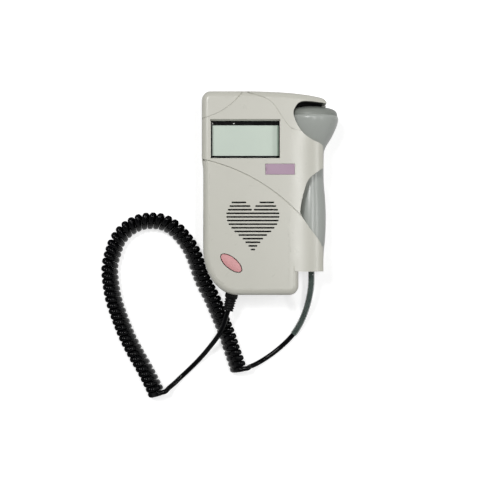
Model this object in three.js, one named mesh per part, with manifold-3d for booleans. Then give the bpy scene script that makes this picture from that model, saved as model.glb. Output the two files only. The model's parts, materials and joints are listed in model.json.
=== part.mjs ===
// A pocket fetal doppler: a case with a display, a speaker and a battery bay, a probe that
// parks in a holster along its right side, and the curly cord that joins the two.
// Lengths are millimetres. The unit lies on its back: X points right, Y to its top end and
// Z out of its front. The origin is on the surface under it, in the middle of its footprint.

import * as THREE from "three";
import { mergeVertices } from "three/addons/utils/BufferGeometryUtils.js";
import Module from "manifold-3d";

const wasm = await Module();
wasm.setup();

// Driving dimensions: fits shared by every piece
const gap = 0.3;
const overrun = 6;
const weld = 1e-4;
const roundSteps = 20;
const caseRuns = 5; // half the runs of each curve of the case's outline

// Driving dimensions: case
const housing = {
  width: 96, // left side of the case to the right side of the probe's head
  height: 142,
  depth: 36,
  wall: 2.2,
  frontRound: 4.5,
  rearRound: 5.5,
  sideStep: 1, // the left side steps in below the groove
  sideStepRun: 7,
  topCornerWidth: 6.2,
  topCornerHeight: 6.6,
  lowCornerWidth: 24,
  lowCornerHeight: 32,
  footCorner: 6.5,
  topFallRun: 58, // the top edge bends down to the hook over this run
  topFall: 4.6,
  hookReach: 10.6, // the hook past the probe's axis
  hookRound: 6,
  hookTurn: THREE.MathUtils.degToRad(75), // the hook's round turns this far before the top edge
  holsterReach: 7.9, // right side of the holster past the probe's axis
  holsterFoot: 16.4, // underside of the holster above the bottom end
  holsterFloor: 4.6,
  bodyStep: 9.6, // right side of the lower body, short of the probe's axis
  barrelReach: 17, // the front starts to roll over this far left of the probe's axis
  barrelFall: 6.4,
  webHeight: 4, // floor left behind the hook's opening
  grooveRadius: 128.5,
  grooveWidth: 0.8,
  grooveDepth: 0.9,
  grooveStart: 48, // where the groove meets the left side, below the top end
};
const partingShare = 0.5;
// Section of the rolled front over the probe: shares of the roll's width and of its fall
const barrelShares = [
  [0, 0], [0.33, 0.064], [0.57, 0.173], [0.776, 0.327], [0.918, 0.527], [0.988, 0.773], [1, 1],
];
// Underside of the hook: shares of the head's radius, from the probe's axis and face
const hookShares = [
  [0.505, 0.034], [0.247, 0.068], [-0.084, 0.105], [-0.374, 0.105], [-0.526, 0.037],
  [-0.637, -0.116], [-0.695, -0.258],
];
// Finger notch over the handle: share of the grip's radius, and of the handle's length
const notchShares = [
  [0.7, 0.16], [-0.245, 0.257], [-0.588, 0.37], [-0.775, 0.469], [-0.843, 0.545], [-0.824, 0.557],
  [-0.235, 0.67], [0.353, 0.77], [0.735, 0.845],
];

// Driving dimensions: probe, from its face down
const probe = {
  axisHeight: 19.6,
  tipDrop: 9.4, // face of the probe below the top end of the case
  headRadius: 19,
  headDepth: 9.4, // widest ring below the face
  rimRadius: 17.2,
  domeHeight: 3.4,
  seamRadius: 17.6,
  seamDepth: 7.3, // joint of the face cap below the face
  coneLength: 22.2,
  neckRadius: 8.8,
  gripRadius: 10.2,
  endRadius: 8.3,
  endRound: 1.5,
  shell: 1.8,
  faceShell: 1.6,
  handleClearance: 0.6,
  coneClearance: 0.9,
  headClearance: 2,
  slotRadius: 3.8,
  boardWidth: 13,
  boardThickness: 1.6,
  boardTopInset: 4.4, // its circuit board ends this far below the neck
  boardFootInset: 13.3, // and this far above the handle's end
  crystalRadius: 14.5,
  crystalThickness: 3,
  glandRadius: 3.1,
  glandTip: 2.9,
  glandFlange: 5.4,
  glandFlangeHeight: 1.8,
  glandNose: 4, // how far the gland stands out of the handle
};
// Cone: share of its length, and share of the way from the neck's radius to the head's
const coneShares = [[0.25, 0.86], [0.55, 0.555], [0.865, 0.145]];
// Grip: share of the handle's length, and share of the way from the neck's radius to the grip's
const gripShares = [[0.27, 0], [0.41, 0.65], [0.53, 1], [0.66, 1], [0.79, 0.65], [0.88, 0.1]];

// Driving dimensions: display
const display = {
  sideInset: 6.5, // opening inside the left side of the case
  topInset: 19.9,
  height: 26.9,
  headWeb: 1.8, // what is left between the opening and the head's recess
  lip: 1,
  lensThickness: 1.5,
  lensBorder: 1.6,
  frameBorder: 0.8,
  frameLip: 0.8,
  frameDepth: 5.7,
  frameWall: 1,
  maskTop: 2.7,
  maskBottom: 1.9,
  maskSide: 1.3,
  glassThickness: 2,
  lightThickness: 2,
  legWidth: 2.4,
  legInset: 6,
};

// Driving dimensions: speaker and its heart of slots
const speaker = {
  sideInset: 35.6,
  bottomInset: 49.5,
  radius: 18,
  rimHeight: 1.7,
  rimWidth: 2,
  cupWall: 0.8,
  cupRadius: 9.4,
  cupDepth: 6,
  capShare: 0.8, // radius of the cone's middle, as a share of the cup's
  coneThickness: 0.6,
  magnetRadius: 10,
  magnetHeight: 5,
  clothRadius: 17.4,
  clothThickness: 0.4,
  ringWall: 1.2,
  ringHeight: 5,
};
const heart = {
  rows: 14,
  pitch: 2.51,
  rise: 14.85, // top row above the speaker's centre
  slotHeight: 1,
  halfWidth: 18.4,
};
// Half width of each row of slots, and of the bridge that parts the top rows
const heartShares = [
  0.804, 0.883, 0.946, 1, 1, 0.973, 0.918, 0.815, 0.696, 0.538, 0.386, 0.283, 0.168, 0.087,
];
const bridgeShares = [0.25, 0.092, 0.035];

// Driving dimensions: button, label and circuit board
const button = {
  sideInset: 20.6,
  bottomInset: 22.3,
  length: 17.5,
  breadth: 7.4,
  clearance: 0.45,
  turn: THREE.MathUtils.degToRad(-39.4),
  proud: 0.7,
  crown: 0.6,
  flangeWidth: 1.3,
  flangeHeight: 1.2,
  stemRadius: 1.9,
  travel: 1,
  switchSize: 6,
  switchHeight: 3.5,
};
const label = {
  width: 20.2,
  height: 7.3,
  thickness: 0.6,
  belowDisplay: 7.8,
  pastDisplay: 10.4, // right end of the label past the right edge of the display
  clearance: 0.3,
};
const board = {
  thickness: 1.6,
  inset: 1.2,
  standoff: 2.15,
  standoffRadius: 2.2,
  bottomInset: 16.5,
  holsterInset: 13.5, // right side of the board, left of the probe's axis
  chipHeight: 1.4,
};
// Chips: share of the board's width and height for the middle, then their own width and height
const chips = [
  { acrossShare: 0.5, upShare: 0.2, width: 12, height: 12 },
  { acrossShare: 0.8, upShare: 0.1, width: 8, height: 5 },
  { acrossShare: 0.12, upShare: 0.24, width: 6, height: 9 },
];

// Driving dimensions: battery bay
const cell = {
  diameter: 14.5,
  length: 50.5,
  nubDiameter: 5.5,
  nubLength: 1,
  apart: 0.5, // gap between the two cells
};
const bay = {
  sideInset: 28, // middle of the bay inside the left side of the case
  topInset: 9.5,
  sideClearance: 0.75,
  roofClearance: 0.25,
  wall: 2.6,
  roof: 1,
  springRoom: 4,
  contactThickness: 0.5,
  contactWidth: 9,
  leafWidth: 5,
};
const door = {
  thickness: 1.8,
  tongueWidth: 1.1,
  tongueHeight: 0.8,
  tongueDrop: 0.1, // top of the tongue under the door's inner face
  ridges: 5,
  ridgePitch: 2.4,
  ridgeWidth: 1.1,
  ridgeLength: 14,
  ridgeDepth: 0.5,
  ridgeInset: 12,
};

// Driving dimensions: cover screws and their bosses
const screw = {
  headRadius: 2.5,
  headHeight: 1.8,
  shankRadius: 1.25,
  length: 24,
  sink: 2.4,
  slotWidth: 0.7,
  slotDepth: 0.9,
  slotShare: 0.6, // length of the cross in the head, as a share of its diameter
  bossRadius: 3.6,
  clearance: 0.35,
};
// Screw places: insets from the side, end or axis that each one follows
const screwInsets = {
  side: 6.6,
  top: 12.6,
  lowSide: 7.6,
  low: 35,
  hookSide: 26.4,
  hookTop: 8.4,
  foot: 8.5,
  footSide: 7.2,
};

// Driving dimensions: plug, its socket and the earphone jack
const plug = {
  turn: THREE.MathUtils.degToRad(13),
  height: 16,
  bootLength: 12.5,
  bootInside: 1.2,
  bootRadius: 4.4,
  bootEndRadius: 3.1,
  ribs: 5,
  ribDepth: 0.5,
  barrelRadius: 2.5,
  barrelInside: 11.5,
  barrelOutside: 3,
  socketRadius: 5.6,
  socketLength: 11,
  cradleShare: 0.7, // share of the socket's length that the rear cover carries
  plainShare: 0.28, // share of the boot's length before its first rib
  ribShares: [0.15, 0.4, 0.55], // foot, end of the foot and start of the crest of each rib
  holeClearance: 0.4,
};
const jack = {
  fromFoot: 15.4,
  height: 12,
  width: 6.6,
  length: 12,
  noseRadius: 2.9,
  boreRadius: 1.8,
  boreDepth: 10,
};

// Driving dimensions: cord
const cord = {
  diameter: 3.5,
  sides: 8,
  curlRadius: 4.2, // from the coil's axis to the middle of the cord
  curlPitch: 4,
  curlSteps: 8,
  curlSides: 5,
  ride: 0.05, // the coil clears the surface by this much
  sleeveRadius: 2.4,
  sleeveBore: 2.1,
};

// Solids from three.js geometries

function toSolid(geometry) {
  const bare = new THREE.BufferGeometry();
  bare.setAttribute("position", geometry.getAttribute("position"));
  bare.setIndex(geometry.index);
  const welded = mergeVertices(bare, weld);
  const index = welded.index.array;
  const corners = [];
  for (let i = 0; i < index.length; i += 3) {
    const [a, b, c] = [index[i], index[i + 1], index[i + 2]];
    if (a !== b && b !== c && c !== a) corners.push(a, b, c);
  }
  const vertProperties = welded.getAttribute("position").array;
  const build = () => {
    const triVerts = Uint32Array.from(corners);
    return new wasm.Manifold(new wasm.Mesh({ numProp: 3, vertProperties, triVerts }));
  };
  const made = build();
  if (made.volume() > 0) return made;
  for (let i = 0; i < corners.length; i += 3) {
    [corners[i + 1], corners[i + 2]] = [corners[i + 2], corners[i + 1]];
  }
  return build();
}

function toGeometry(made) {
  const mesh = made.getMesh();
  const geometry = new THREE.BufferGeometry();
  const positions = Float32Array.from(mesh.vertProperties);
  geometry.setAttribute("position", new THREE.BufferAttribute(positions, 3));
  geometry.setIndex(Array.from(mesh.triVerts));
  return geometry;
}

const shapeOf = (points) => new THREE.Shape(points.map(([x, y]) => new THREE.Vector2(x, y)));

// The same shape as straight runs, without the doubled points where its curves meet
function asRuns(shape, divisions) {
  const points = shape.getPoints(divisions);
  const kept = points.filter((p, i) => p.distanceTo(points[(i + 1) % points.length]) > weld);
  return new THREE.Shape(kept);
}

function prism(shape, low, high, curveSegments = 6) {
  const runs = asRuns(shape, curveSegments);
  const geometry = new THREE.ExtrudeGeometry(runs, { depth: high - low, bevelEnabled: false });
  return toSolid(geometry.translate(0, 0, low));
}

function block(x0, x1, y0, y1, z0, z1) {
  const geometry = new THREE.BoxGeometry(x1 - x0, y1 - y0, z1 - z0);
  return toSolid(geometry.translate((x0 + x1) / 2, (y0 + y1) / 2, (z0 + z1) / 2));
}

// A block by the middle of its plan, its width and its height
function plate(x, y, width, height, low, high) {
  return block(x - width / 2, x + width / 2, y - height / 2, y + height / 2, low, high);
}

function post(x, y, radius, low, high, steps = roundSteps) {
  const geometry = new THREE.CylinderGeometry(radius, radius, high - low, steps).rotateX(Math.PI / 2);
  return toSolid(geometry.translate(x, y, (low + high) / 2));
}

// A solid turned about the Y axis from points of radius and height
function turned(profile, steps = roundSteps) {
  return toSolid(new THREE.LatheGeometry(profile.map(([r, y]) => new THREE.Vector2(r, y)), steps));
}

const union = (solids) => solids.reduce((all, one) => all.add(one));

// A prism whose ends are rounded over, and whose sides are inset from the outline
function roundedPrism(shape, low, high, radius, inset) {
  const geometry = new THREE.ExtrudeGeometry(asRuns(shape, caseRuns), {
    depth: high - low - 2 * radius,
    bevelThickness: radius,
    bevelSize: radius,
    bevelOffset: -radius - inset,
    bevelSegments: 3,
  });
  return toSolid(geometry.translate(0, 0, low + radius));
}

function ellipse(x, y, length, breadth, turn) {
  const shape = new THREE.Shape();
  shape.absellipse(x, y, length / 2, breadth / 2, 0, 2 * Math.PI, false, turn);
  return shape;
}

// Places that the pieces share
const left = -housing.width / 2;
const top = housing.height / 2;
const bottom = -top;
const parting = housing.depth * partingShare;
const axisX = housing.width / 2 - probe.headRadius;
const axisZ = probe.axisHeight;
const faceY = top - probe.tipDrop;
const right = axisX + housing.holsterReach;
const bodyRight = axisX - housing.bodyStep;
const holsterBottom = bottom + housing.holsterFoot;
const holsterFloor = holsterBottom + housing.holsterFloor;
const lowLeft = left + housing.sideStep;
const grooveY = top - housing.grooveStart;
const lowCornerX = lowLeft + housing.lowCornerWidth;
const lowCornerY = bottom + housing.lowCornerHeight;

// Case outline, seen from the front
function caseOutline() {
  const { topCornerWidth, topCornerHeight, lowCornerWidth, lowCornerHeight, footCorner } = housing;
  const { sideStepRun, topFall, hookReach, hookRound, hookTurn } = housing;
  const hookX = axisX + hookReach - hookRound;
  const hookY = top - topFall - hookRound * Math.sin(hookTurn);
  const fallStart = hookX + hookRound * Math.cos(hookTurn);
  const shape = new THREE.Shape();
  shape.moveTo(lowCornerX, bottom);
  shape.lineTo(bodyRight - footCorner, bottom);
  shape.absarc(bodyRight - footCorner, bottom + footCorner, footCorner, -Math.PI / 2, 0);
  shape.lineTo(bodyRight, holsterBottom);
  shape.lineTo(right, holsterBottom);
  shape.lineTo(right, hookY - 2 * hookRound);
  shape.lineTo(axisX + hookReach, hookY - hookRound);
  shape.absarc(hookX, hookY, hookRound, 0, hookTurn);
  shape.quadraticCurveTo(fallStart - topFall * Math.tan(hookTurn), top, right - housing.topFallRun, top);
  shape.lineTo(left + topCornerWidth, top);
  const cornerX = left + topCornerWidth;
  const cornerY = top - topCornerHeight;
  shape.absellipse(cornerX, cornerY, topCornerWidth, topCornerHeight, Math.PI / 2, Math.PI);
  shape.lineTo(left, grooveY);
  shape.lineTo(lowLeft, grooveY - sideStepRun);
  shape.lineTo(lowLeft, lowCornerY);
  shape.absellipse(lowCornerX, lowCornerY, lowCornerWidth, lowCornerHeight, Math.PI, 1.5 * Math.PI);
  return shape;
}

// The roll of the front over the probe: everything above it is cut away
function aboveBarrel(drop) {
  const start = axisX - housing.barrelReach;
  const points = barrelShares.map(([across, down]) => [
    start + across * (right - start),
    housing.depth - down * housing.barrelFall - drop,
  ]);
  const edge = points[points.length - 1][1];
  const above = housing.depth + overrun;
  points.push([right + overrun, edge], [right + overrun, above], [start, above]);
  const upTo = faceY - probe.domeHeight - probe.headClearance;
  const from = bottom - overrun;
  return prism(shapeOf(points), 0, upTo - from).rotate([90, 0, 0]).translate([0, upTo, 0]);
}

// Probe profile and its recess in the case

const neckY = faceY - probe.headDepth - probe.coneLength;
const handleEnd = holsterFloor + gap;
const handleLength = neckY - handleEnd;
const conePoint = ([along, out]) => [
  probe.neckRadius + out * (probe.headRadius - probe.neckRadius),
  faceY - probe.headDepth - along * probe.coneLength,
];
const gripPoint = ([along, out]) => [
  probe.neckRadius + out * (probe.gripRadius - probe.neckRadius),
  neckY - along * handleLength,
];

// Outer points of the recess, from its foot up, grown by extra
function recessProfile(extra) {
  const grown = (clearance) => ([radius, y]) => [radius + clearance + extra, y];
  const { headRadius, headClearance, rimRadius, handleClearance } = probe;
  return [
    [0, holsterBottom - overrun],
    [probe.slotRadius + extra, holsterBottom - overrun],
    [probe.slotRadius + extra, holsterFloor - extra],
    [probe.endRadius + handleClearance + extra, holsterFloor - extra],
    ...gripShares.map(gripPoint).map(grown(handleClearance)).reverse(),
    grown(handleClearance)([probe.neckRadius, neckY]),
    ...coneShares.map(conePoint).map(grown(probe.coneClearance)).reverse(),
    [headRadius + headClearance * 0.8 + extra, faceY - probe.headDepth],
    [headRadius + headClearance + extra, faceY - probe.domeHeight - headClearance],
    [rimRadius + headClearance + extra, faceY - probe.domeHeight + handleClearance + extra],
    [rimRadius / 2, faceY - probe.domeHeight / 4 + handleClearance + extra],
    [0, faceY + handleClearance + extra],
  ];
}

// The recess is open to the right, so that the probe slides out sideways
function recess(extra) {
  const profile = recessProfile(extra);
  const sides = profile.slice(1, -1);
  const outline = [
    ...sides,
    profile[profile.length - 1],
    ...sides.map(([r, y]) => [-r, y]).reverse(),
  ];
  const sweep = prism(shapeOf(outline), 0, right + overrun - axisX).rotate([0, 90, 0]);
  return turned(profile, 24).add(sweep).translate([axisX, 0, axisZ]);
}

const probeRecess = recess(0);
const recessWall = recess(housing.wall);
const outline = caseOutline();
const { wall, depth } = housing;

// Inside of the case, clear of the hook and of the recess
const hookLimit = axisX - probe.headRadius + housing.wall;
const hookFoot = faceY - probe.headDepth;
const hookBlock = (extra) => block(hookLimit - extra, right + overrun, hookFoot - extra, top, 0, depth);
const everywhere = (low, high) => plate(0, 0, 2 * housing.width, 2 * housing.height, low, high);
function inside(round) {
  return roundedPrism(outline, wall, depth - wall, round - wall, wall)
    .subtract(recessWall)
    .subtract(hookBlock(0))
    .subtract(aboveBarrel(wall));
}

// Display stack, from the front wall in
const windowLeft = left + display.sideInset;
const windowRight = axisX - probe.headRadius - probe.headClearance - display.headWeb;
const windowTop = top - display.topInset;
const windowBottom = windowTop - display.height;
const lensTop = depth - wall - gap;
const lensBottom = lensTop - display.lensThickness;
const frameTop = lensBottom - gap;
const glassTop = frameTop - display.frameLip - gap;
const lightTop = glassTop - display.glassThickness - gap;

// Battery bay in the back
const bayX = left + bay.sideInset;
const cellSpacing = cell.diameter + cell.apart;
const bayHalf = cellSpacing / 2 + cell.diameter / 2 + bay.sideClearance;
const bayTop = top - bay.topInset;
const bayBottom = bayTop - cell.length - 2 * bay.contactThickness - 2 * gap - gap - bay.springRoom;
const cellZ = door.thickness + gap + cell.diameter / 2;
const bayRoof = cellZ + cell.diameter / 2 + bay.roofClearance;
const bayRoofTop = bayRoof + bay.roof;

// Circuit board over the bay's roof
const boardLow = bayRoofTop + board.standoff + gap;
const boardHigh = boardLow + board.thickness;

const speakerX = left + speaker.sideInset;
const speakerY = bottom + speaker.bottomInset;
const clothTop = depth - wall - gap;
const rimTop = clothTop - speaker.clothThickness - gap;

const buttonX = left + button.sideInset;
const buttonY = bottom + button.bottomInset;
const flangeTop = depth - wall - gap;
const switchTop = boardHigh + button.switchHeight;

// The button's outline, grown all round
function buttonOval(extra) {
  const { length, breadth, turn } = button;
  return ellipse(buttonX, buttonY, length + 2 * extra, breadth + 2 * extra, turn);
}

const labelX = windowRight + label.pastDisplay - label.width / 2;
const labelY = windowBottom - label.belowDisplay;

const screwPlaces = [
  [left + screwInsets.side, top - screwInsets.top],
  [axisX - screwInsets.hookSide, top - screwInsets.hookTop],
  [left + screwInsets.lowSide, bottom + screwInsets.low],
  [bodyRight - screwInsets.footSide, bottom + screwInsets.foot],
];
const postTop = screw.sink + screw.headHeight + screw.length + screw.clearance;

// The plug's socket sits where the low corner faces its pull
const socketAngle = Math.atan((housing.lowCornerWidth / housing.lowCornerHeight) * Math.tan(plug.turn));
const socketX = lowCornerX - housing.lowCornerWidth * Math.sin(socketAngle);
const socketY = lowCornerY - housing.lowCornerHeight * Math.cos(socketAngle);
const socketSeat = wall + gap; // from the case's surface to the socket's face
const jackX = bodyRight - jack.fromFoot;

// Along the plug's axis: a solid made along +Y is turned to point out of the corner
function outOfSocket(made) {
  const turn = new THREE.Matrix4().makeRotationZ(Math.PI - plug.turn);
  turn.setPosition(socketX, socketY, plug.height);
  return made.transform(turn.elements);
}

function atScrews(radius, low, high) {
  return union(screwPlaces.map(([x, y]) => post(x, y, radius, low, high, 12)));
}

const shankHole = screw.shankRadius + screw.clearance;
const screwHoles = atScrews(shankHole, -overrun, postTop);
const bootHole = plug.bootRadius + plug.holeClearance;
const socketHole = plug.socketRadius + gap;
const socketBack = -socketSeat - plug.socketLength - gap;
const plugHole = turned([
  [0, socketBack], [socketHole, socketBack], [socketHole, gap - socketSeat],
  [bootHole, gap - socketSeat], [bootHole, overrun], [0, overrun],
], 20);

// A round pin or bore along Y, from the bottom end
function fromBottom(radius, from, to, steps) {
  return turned([[0, from], [radius, from], [radius, to], [0, to]], steps)
    .translate([jackX, bottom, jack.height]);
}

const endHoles = outOfSocket(plugHole).add(fromBottom(jack.noseRadius + gap, -overrun, wall, 16));

// Front cover

function heartSlots() {
  const slots = [];
  heartShares.forEach((share, row) => {
    const y = speakerY + heart.rise - row * heart.pitch;
    const outer = share * heart.halfWidth;
    const bridge = (bridgeShares[row] ?? 0) * heart.halfWidth;
    const spans = bridge ? [[-outer, -bridge], [bridge, outer]] : [[-outer, outer]];
    for (const [from, to] of spans) {
      const r = heart.slotHeight / 2;
      const shape = new THREE.Shape();
      shape.absarc(speakerX + to - r, y, r, -Math.PI / 2, Math.PI / 2);
      shape.absarc(speakerX + from + r, y, r, Math.PI / 2, 1.5 * Math.PI);
      slots.push(prism(shape, depth - wall - overrun, depth + overrun, 2));
    }
  });
  return union(slots);
}

function displayOpening() {
  const shape = shapeOf([
    [windowLeft, windowBottom], [windowRight, windowBottom],
    [windowRight, windowTop], [windowLeft, windowTop],
  ]);
  const through = prism(shape, depth - wall - overrun, depth + overrun);
  const funnel = new THREE.ExtrudeGeometry(shape, {
    depth: overrun,
    bevelThickness: display.lip,
    bevelSize: display.lip,
    bevelSegments: 1,
  });
  return through.add(toSolid(funnel.translate(0, 0, depth)));
}

// The long curved groove from the left side to the holster
function groove() {
  const end = notchShares[notchShares.length - 1];
  const a = new THREE.Vector2(lowLeft, grooveY);
  const b = new THREE.Vector2(axisX + end[0] * probe.gripRadius, neckY - end[1] * handleLength);
  const half = a.distanceTo(b) / 2;
  const radius = Math.max(housing.grooveRadius, half);
  const middle = a.clone().add(b).multiplyScalar(0.5);
  const across = new THREE.Vector2(b.y - a.y, a.x - b.x).normalize();
  const centre = middle.add(across.multiplyScalar(Math.sqrt(radius * radius - half * half)));
  const from = Math.atan2(b.y - centre.y, b.x - centre.x);
  const to = Math.atan2(a.y - centre.y, a.x - centre.x) + housing.grooveWidth / radius;
  const shape = new THREE.Shape();
  shape.absarc(centre.x, centre.y, radius + housing.grooveWidth / 2, from, to);
  shape.absarc(centre.x, centre.y, radius - housing.grooveWidth / 2, to, from, true);
  return prism(shape, depth - housing.grooveDepth, depth + overrun, 9);
}

function frontCover() {
  const frontRing = speaker.radius + gap;
  const edgeX = right + housing.hookReach;
  const hookCut = [
    [edgeX, faceY + hookShares[0][1] * probe.headRadius],
    ...hookShares.map(([x, y]) => [axisX + x * probe.headRadius, faceY + y * probe.headRadius]),
    [axisX, faceY - probe.headRadius],
    [edgeX, faceY - probe.headRadius],
  ];
  const notch = notchShares.map(([x, y]) => [axisX + x * probe.gripRadius, neckY - y * handleLength]);
  notch.unshift([edgeX, notch[0][1]]);
  notch.push([edgeX, notch[notch.length - 1][1]]);
  const ringLow = depth - wall - speaker.ringHeight;
  const ring = post(speakerX, speakerY, frontRing + speaker.ringWall, ringLow, depth - wall / 2)
    .subtract(post(speakerX, speakerY, frontRing, ringLow - overrun, depth - wall));
  const posts = atScrews(screw.bossRadius, parting + gap / 2, depth - wall / 2);
  const hole = buttonOval(button.clearance);
  const labelRecess = plate(labelX, labelY, label.width + 2 * label.clearance,
    label.height + 2 * label.clearance, depth - label.thickness, depth + overrun);
  return roundedPrism(outline, 0, depth, housing.frontRound, 0)
    .subtract(inside(housing.frontRound))
    .add(posts)
    .subtract(aboveBarrel(0))
    .add(ring)
    .subtract(probeRecess)
    .subtract(prism(shapeOf(hookCut), housing.webHeight, depth + overrun))
    .subtract(prism(shapeOf(notch), axisZ, depth + overrun))
    .subtract(displayOpening())
    .subtract(heartSlots())
    .subtract(groove())
    .subtract(prism(hole, depth - wall - overrun, depth + overrun, 10))
    .subtract(labelRecess)
    .subtract(screwHoles)
    .subtract(endHoles)
    .subtract(everywhere(-overrun, parting + gap / 2));
}

// Rear cover

const doorHalf = bayHalf - gap;
const doorLow = bayBottom - bay.wall / 2;

// What the door slides in, grown by a clearance; the door is the same shape without it
function doorSpace(clearance) {
  const tongueHalf = doorHalf + door.tongueWidth + clearance;
  const tongueTop = door.thickness - door.tongueDrop + clearance;
  const tongueLow = door.thickness - door.tongueDrop - door.tongueHeight - clearance;
  const panelHalf = doorHalf + clearance;
  const from = doorLow - clearance;
  const to = top + overrun;
  return block(bayX - panelHalf, bayX + panelHalf, from, to, -overrun, door.thickness + clearance)
    .add(block(bayX - tongueHalf, bayX + tongueHalf, from, to, tongueLow, tongueTop));
}

function rearCover() {
  const fullBody = roundedPrism(outline, 0, depth, housing.rearRound, 0);
  const blockHalf = bayHalf + bay.wall;
  const bayBlock = block(bayX - blockHalf, bayX + blockHalf, bayBottom - bay.wall, top, 0, bayRoofTop);
  const bosses = atScrews(screw.bossRadius, wall / 2, parting);
  const standoffPlaces = [
    [bayX - bayHalf + wall, bayTop - bay.wall], [bayX + bayHalf - wall, bayTop - bay.wall],
    [bayX - bayHalf + wall, bayBottom + bay.wall], [bayX + bayHalf - wall, bayBottom + bay.wall],
  ];
  const standoffs = union(standoffPlaces.map(([x, y]) => (
    post(x, y, board.standoffRadius, bayRoof, boardLow - gap, 12)
  )));
  // What belongs to the front cover, which the bay stays clear of above the parting
  const clear = roundedPrism(outline, wall, depth - wall, housing.frontRound - wall, wall + gap);
  const frontWalls = everywhere(parting - gap / 2, depth)
    .subtract(clear)
    .add(atScrews(screw.bossRadius + gap, parting - gap / 2, depth));
  const socketTop = plug.height - plug.socketRadius - gap;
  const socketEnd = socketY + socketSeat + plug.socketLength;
  const socketFoot = socketEnd - plug.socketLength * plug.cradleShare;
  const socketFrom = socketX - plug.socketRadius / 2;
  const socketTo = socketX + plug.socketRadius;
  const socketCradle = block(socketFrom, socketTo, socketFoot, socketEnd, wall / 2, socketTop);
  const jackMiddle = bottom + wall + jack.length / 2;
  const jackTop = jack.height - jack.width / 2 - gap;
  const jackCradle = plate(jackX, jackMiddle, jack.width, jack.length, wall / 2, jackTop);
  const sinks = atScrews(screw.headRadius + gap, -overrun, screw.sink + screw.headHeight);
  return fullBody
    .subtract(inside(housing.rearRound))
    .add(bosses)
    .add(socketCradle)
    .add(jackCradle)
    .subtract(everywhere(parting - gap / 2, depth + overrun))
    .add(bayBlock.add(standoffs).intersect(fullBody).subtract(frontWalls))
    .subtract(block(bayX - bayHalf, bayX + bayHalf, bayBottom, bayTop, -overrun, bayRoof))
    .subtract(doorSpace(gap))
    .subtract(probeRecess)
    .subtract(sinks)
    .subtract(atScrews(shankHole, -overrun, parting))
    .subtract(endHoles);
}

function batteryDoor() {
  const { ridgeInset, ridgePitch, ridgeWidth, ridgeLength, ridgeDepth } = door;
  const ridges = [];
  for (let i = 0; i < door.ridges; i++) {
    const y = doorLow + ridgeInset + ridgeWidth / 2 + i * ridgePitch;
    ridges.push(plate(bayX, y, ridgeLength, ridgeWidth, -overrun, ridgeDepth));
  }
  return roundedPrism(outline, 0, depth, housing.rearRound, 0)
    .intersect(doorSpace(0))
    .subtract(union(ridges));
}

// Display, board, speaker, button

function displayLens() {
  const b = display.lensBorder;
  return block(windowLeft - b, windowRight + b, windowBottom - b, windowTop + b, lensBottom, lensTop);
}

// The display's box, shrunk on all four sides
function frameBox(shrink, low, high) {
  const border = display.frameBorder - shrink;
  const x0 = windowLeft - border;
  const x1 = windowRight + border;
  return block(x0, x1, windowBottom - border, windowTop + border, low, high);
}

function displayFrame() {
  const { frameBorder, frameWall, frameDepth, frameLip, legInset, legWidth } = display;
  const { maskSide, maskTop, maskBottom } = display;
  const low = frameTop - frameDepth;
  const toLeg = frameBorder - frameWall / 2;
  const legs = [];
  for (const x of [windowLeft + legInset, windowRight - legInset]) {
    for (const y of [windowBottom - toLeg, windowTop + toLeg]) {
      legs.push(plate(x, y, legWidth, frameWall, boardHigh + gap, frameTop - gap));
    }
  }
  const viewTop = windowTop - maskTop - maskSide;
  const viewBottom = windowBottom + maskBottom;
  const view = block(windowLeft + maskSide, windowRight - maskSide, viewBottom, viewTop, low, depth);
  return frameBox(0, low, frameTop)
    .subtract(frameBox(frameWall, low - overrun, frameTop - frameLip))
    .add(union(legs))
    .subtract(view);
}

const glassInset = display.frameWall + gap;
const displayGlass = () => frameBox(glassInset, glassTop - display.glassThickness, glassTop);
const displayLight = () => frameBox(glassInset, lightTop - display.lightThickness, lightTop);

const boardLeft = left + wall + board.inset;
const boardRight = axisX - board.holsterInset;
const boardBottom = bottom + board.bottomInset;

function circuitBoard() {
  const low = boardLow - overrun;
  const high = boardHigh + overrun;
  const parts = chips.map((chip) => {
    const x = boardLeft + chip.acrossShare * (boardRight - boardLeft);
    const y = boardBottom + chip.upShare * (top - boardBottom);
    return plate(x, y, chip.width, chip.height, boardLow, boardHigh + board.chipHeight);
  });
  const magnetHole = post(speakerX, speakerY, speaker.magnetRadius + 1.5 * gap, low, high);
  return roundedPrism(outline, wall, depth - wall, housing.frontRound - wall, wall + board.inset)
    .intersect(block(left, boardRight, boardBottom, top, boardLow, boardHigh))
    .add(union(parts))
    .subtract(magnetHole)
    .subtract(atScrews(screw.bossRadius + 2 * gap, low, high))
    .subtract(hookBlock(2 * gap))
    .subtract(recess(wall + gap));
}

function speakerFrame() {
  const { radius, rimWidth, rimHeight, cupWall, cupRadius, cupDepth } = speaker;
  const rimLow = rimTop - rimHeight;
  const cupLow = rimTop - cupDepth;
  const shaftRadius = cupRadius / 2;
  return turned([
    [radius, rimTop], [radius - rimWidth, rimTop], [radius - rimWidth, rimLow + cupWall / 2],
    [cupRadius, cupLow + cupWall], [shaftRadius, cupLow + cupWall], [shaftRadius, cupLow],
    [cupRadius, cupLow], [radius - rimWidth, rimLow - cupWall / 2], [radius, rimLow], [radius, rimTop],
  ]).rotate([90, 0, 0]).translate([speakerX, speakerY, 0]);
}

function speakerCone() {
  const { radius, rimWidth, coneThickness, cupRadius, cupDepth, cupWall } = speaker;
  const outer = radius - rimWidth - gap;
  const low = rimTop - cupDepth + cupWall + gap;
  const capRadius = cupRadius * speaker.capShare;
  return turned([
    [0, low + coneThickness * 3], [cupRadius / 2, low + coneThickness * 2],
    [capRadius, low + coneThickness], [outer, rimTop], [outer, rimTop - coneThickness],
    [capRadius, low], [0, low],
  ]).rotate([90, 0, 0]).translate([speakerX, speakerY, 0]);
}

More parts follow.
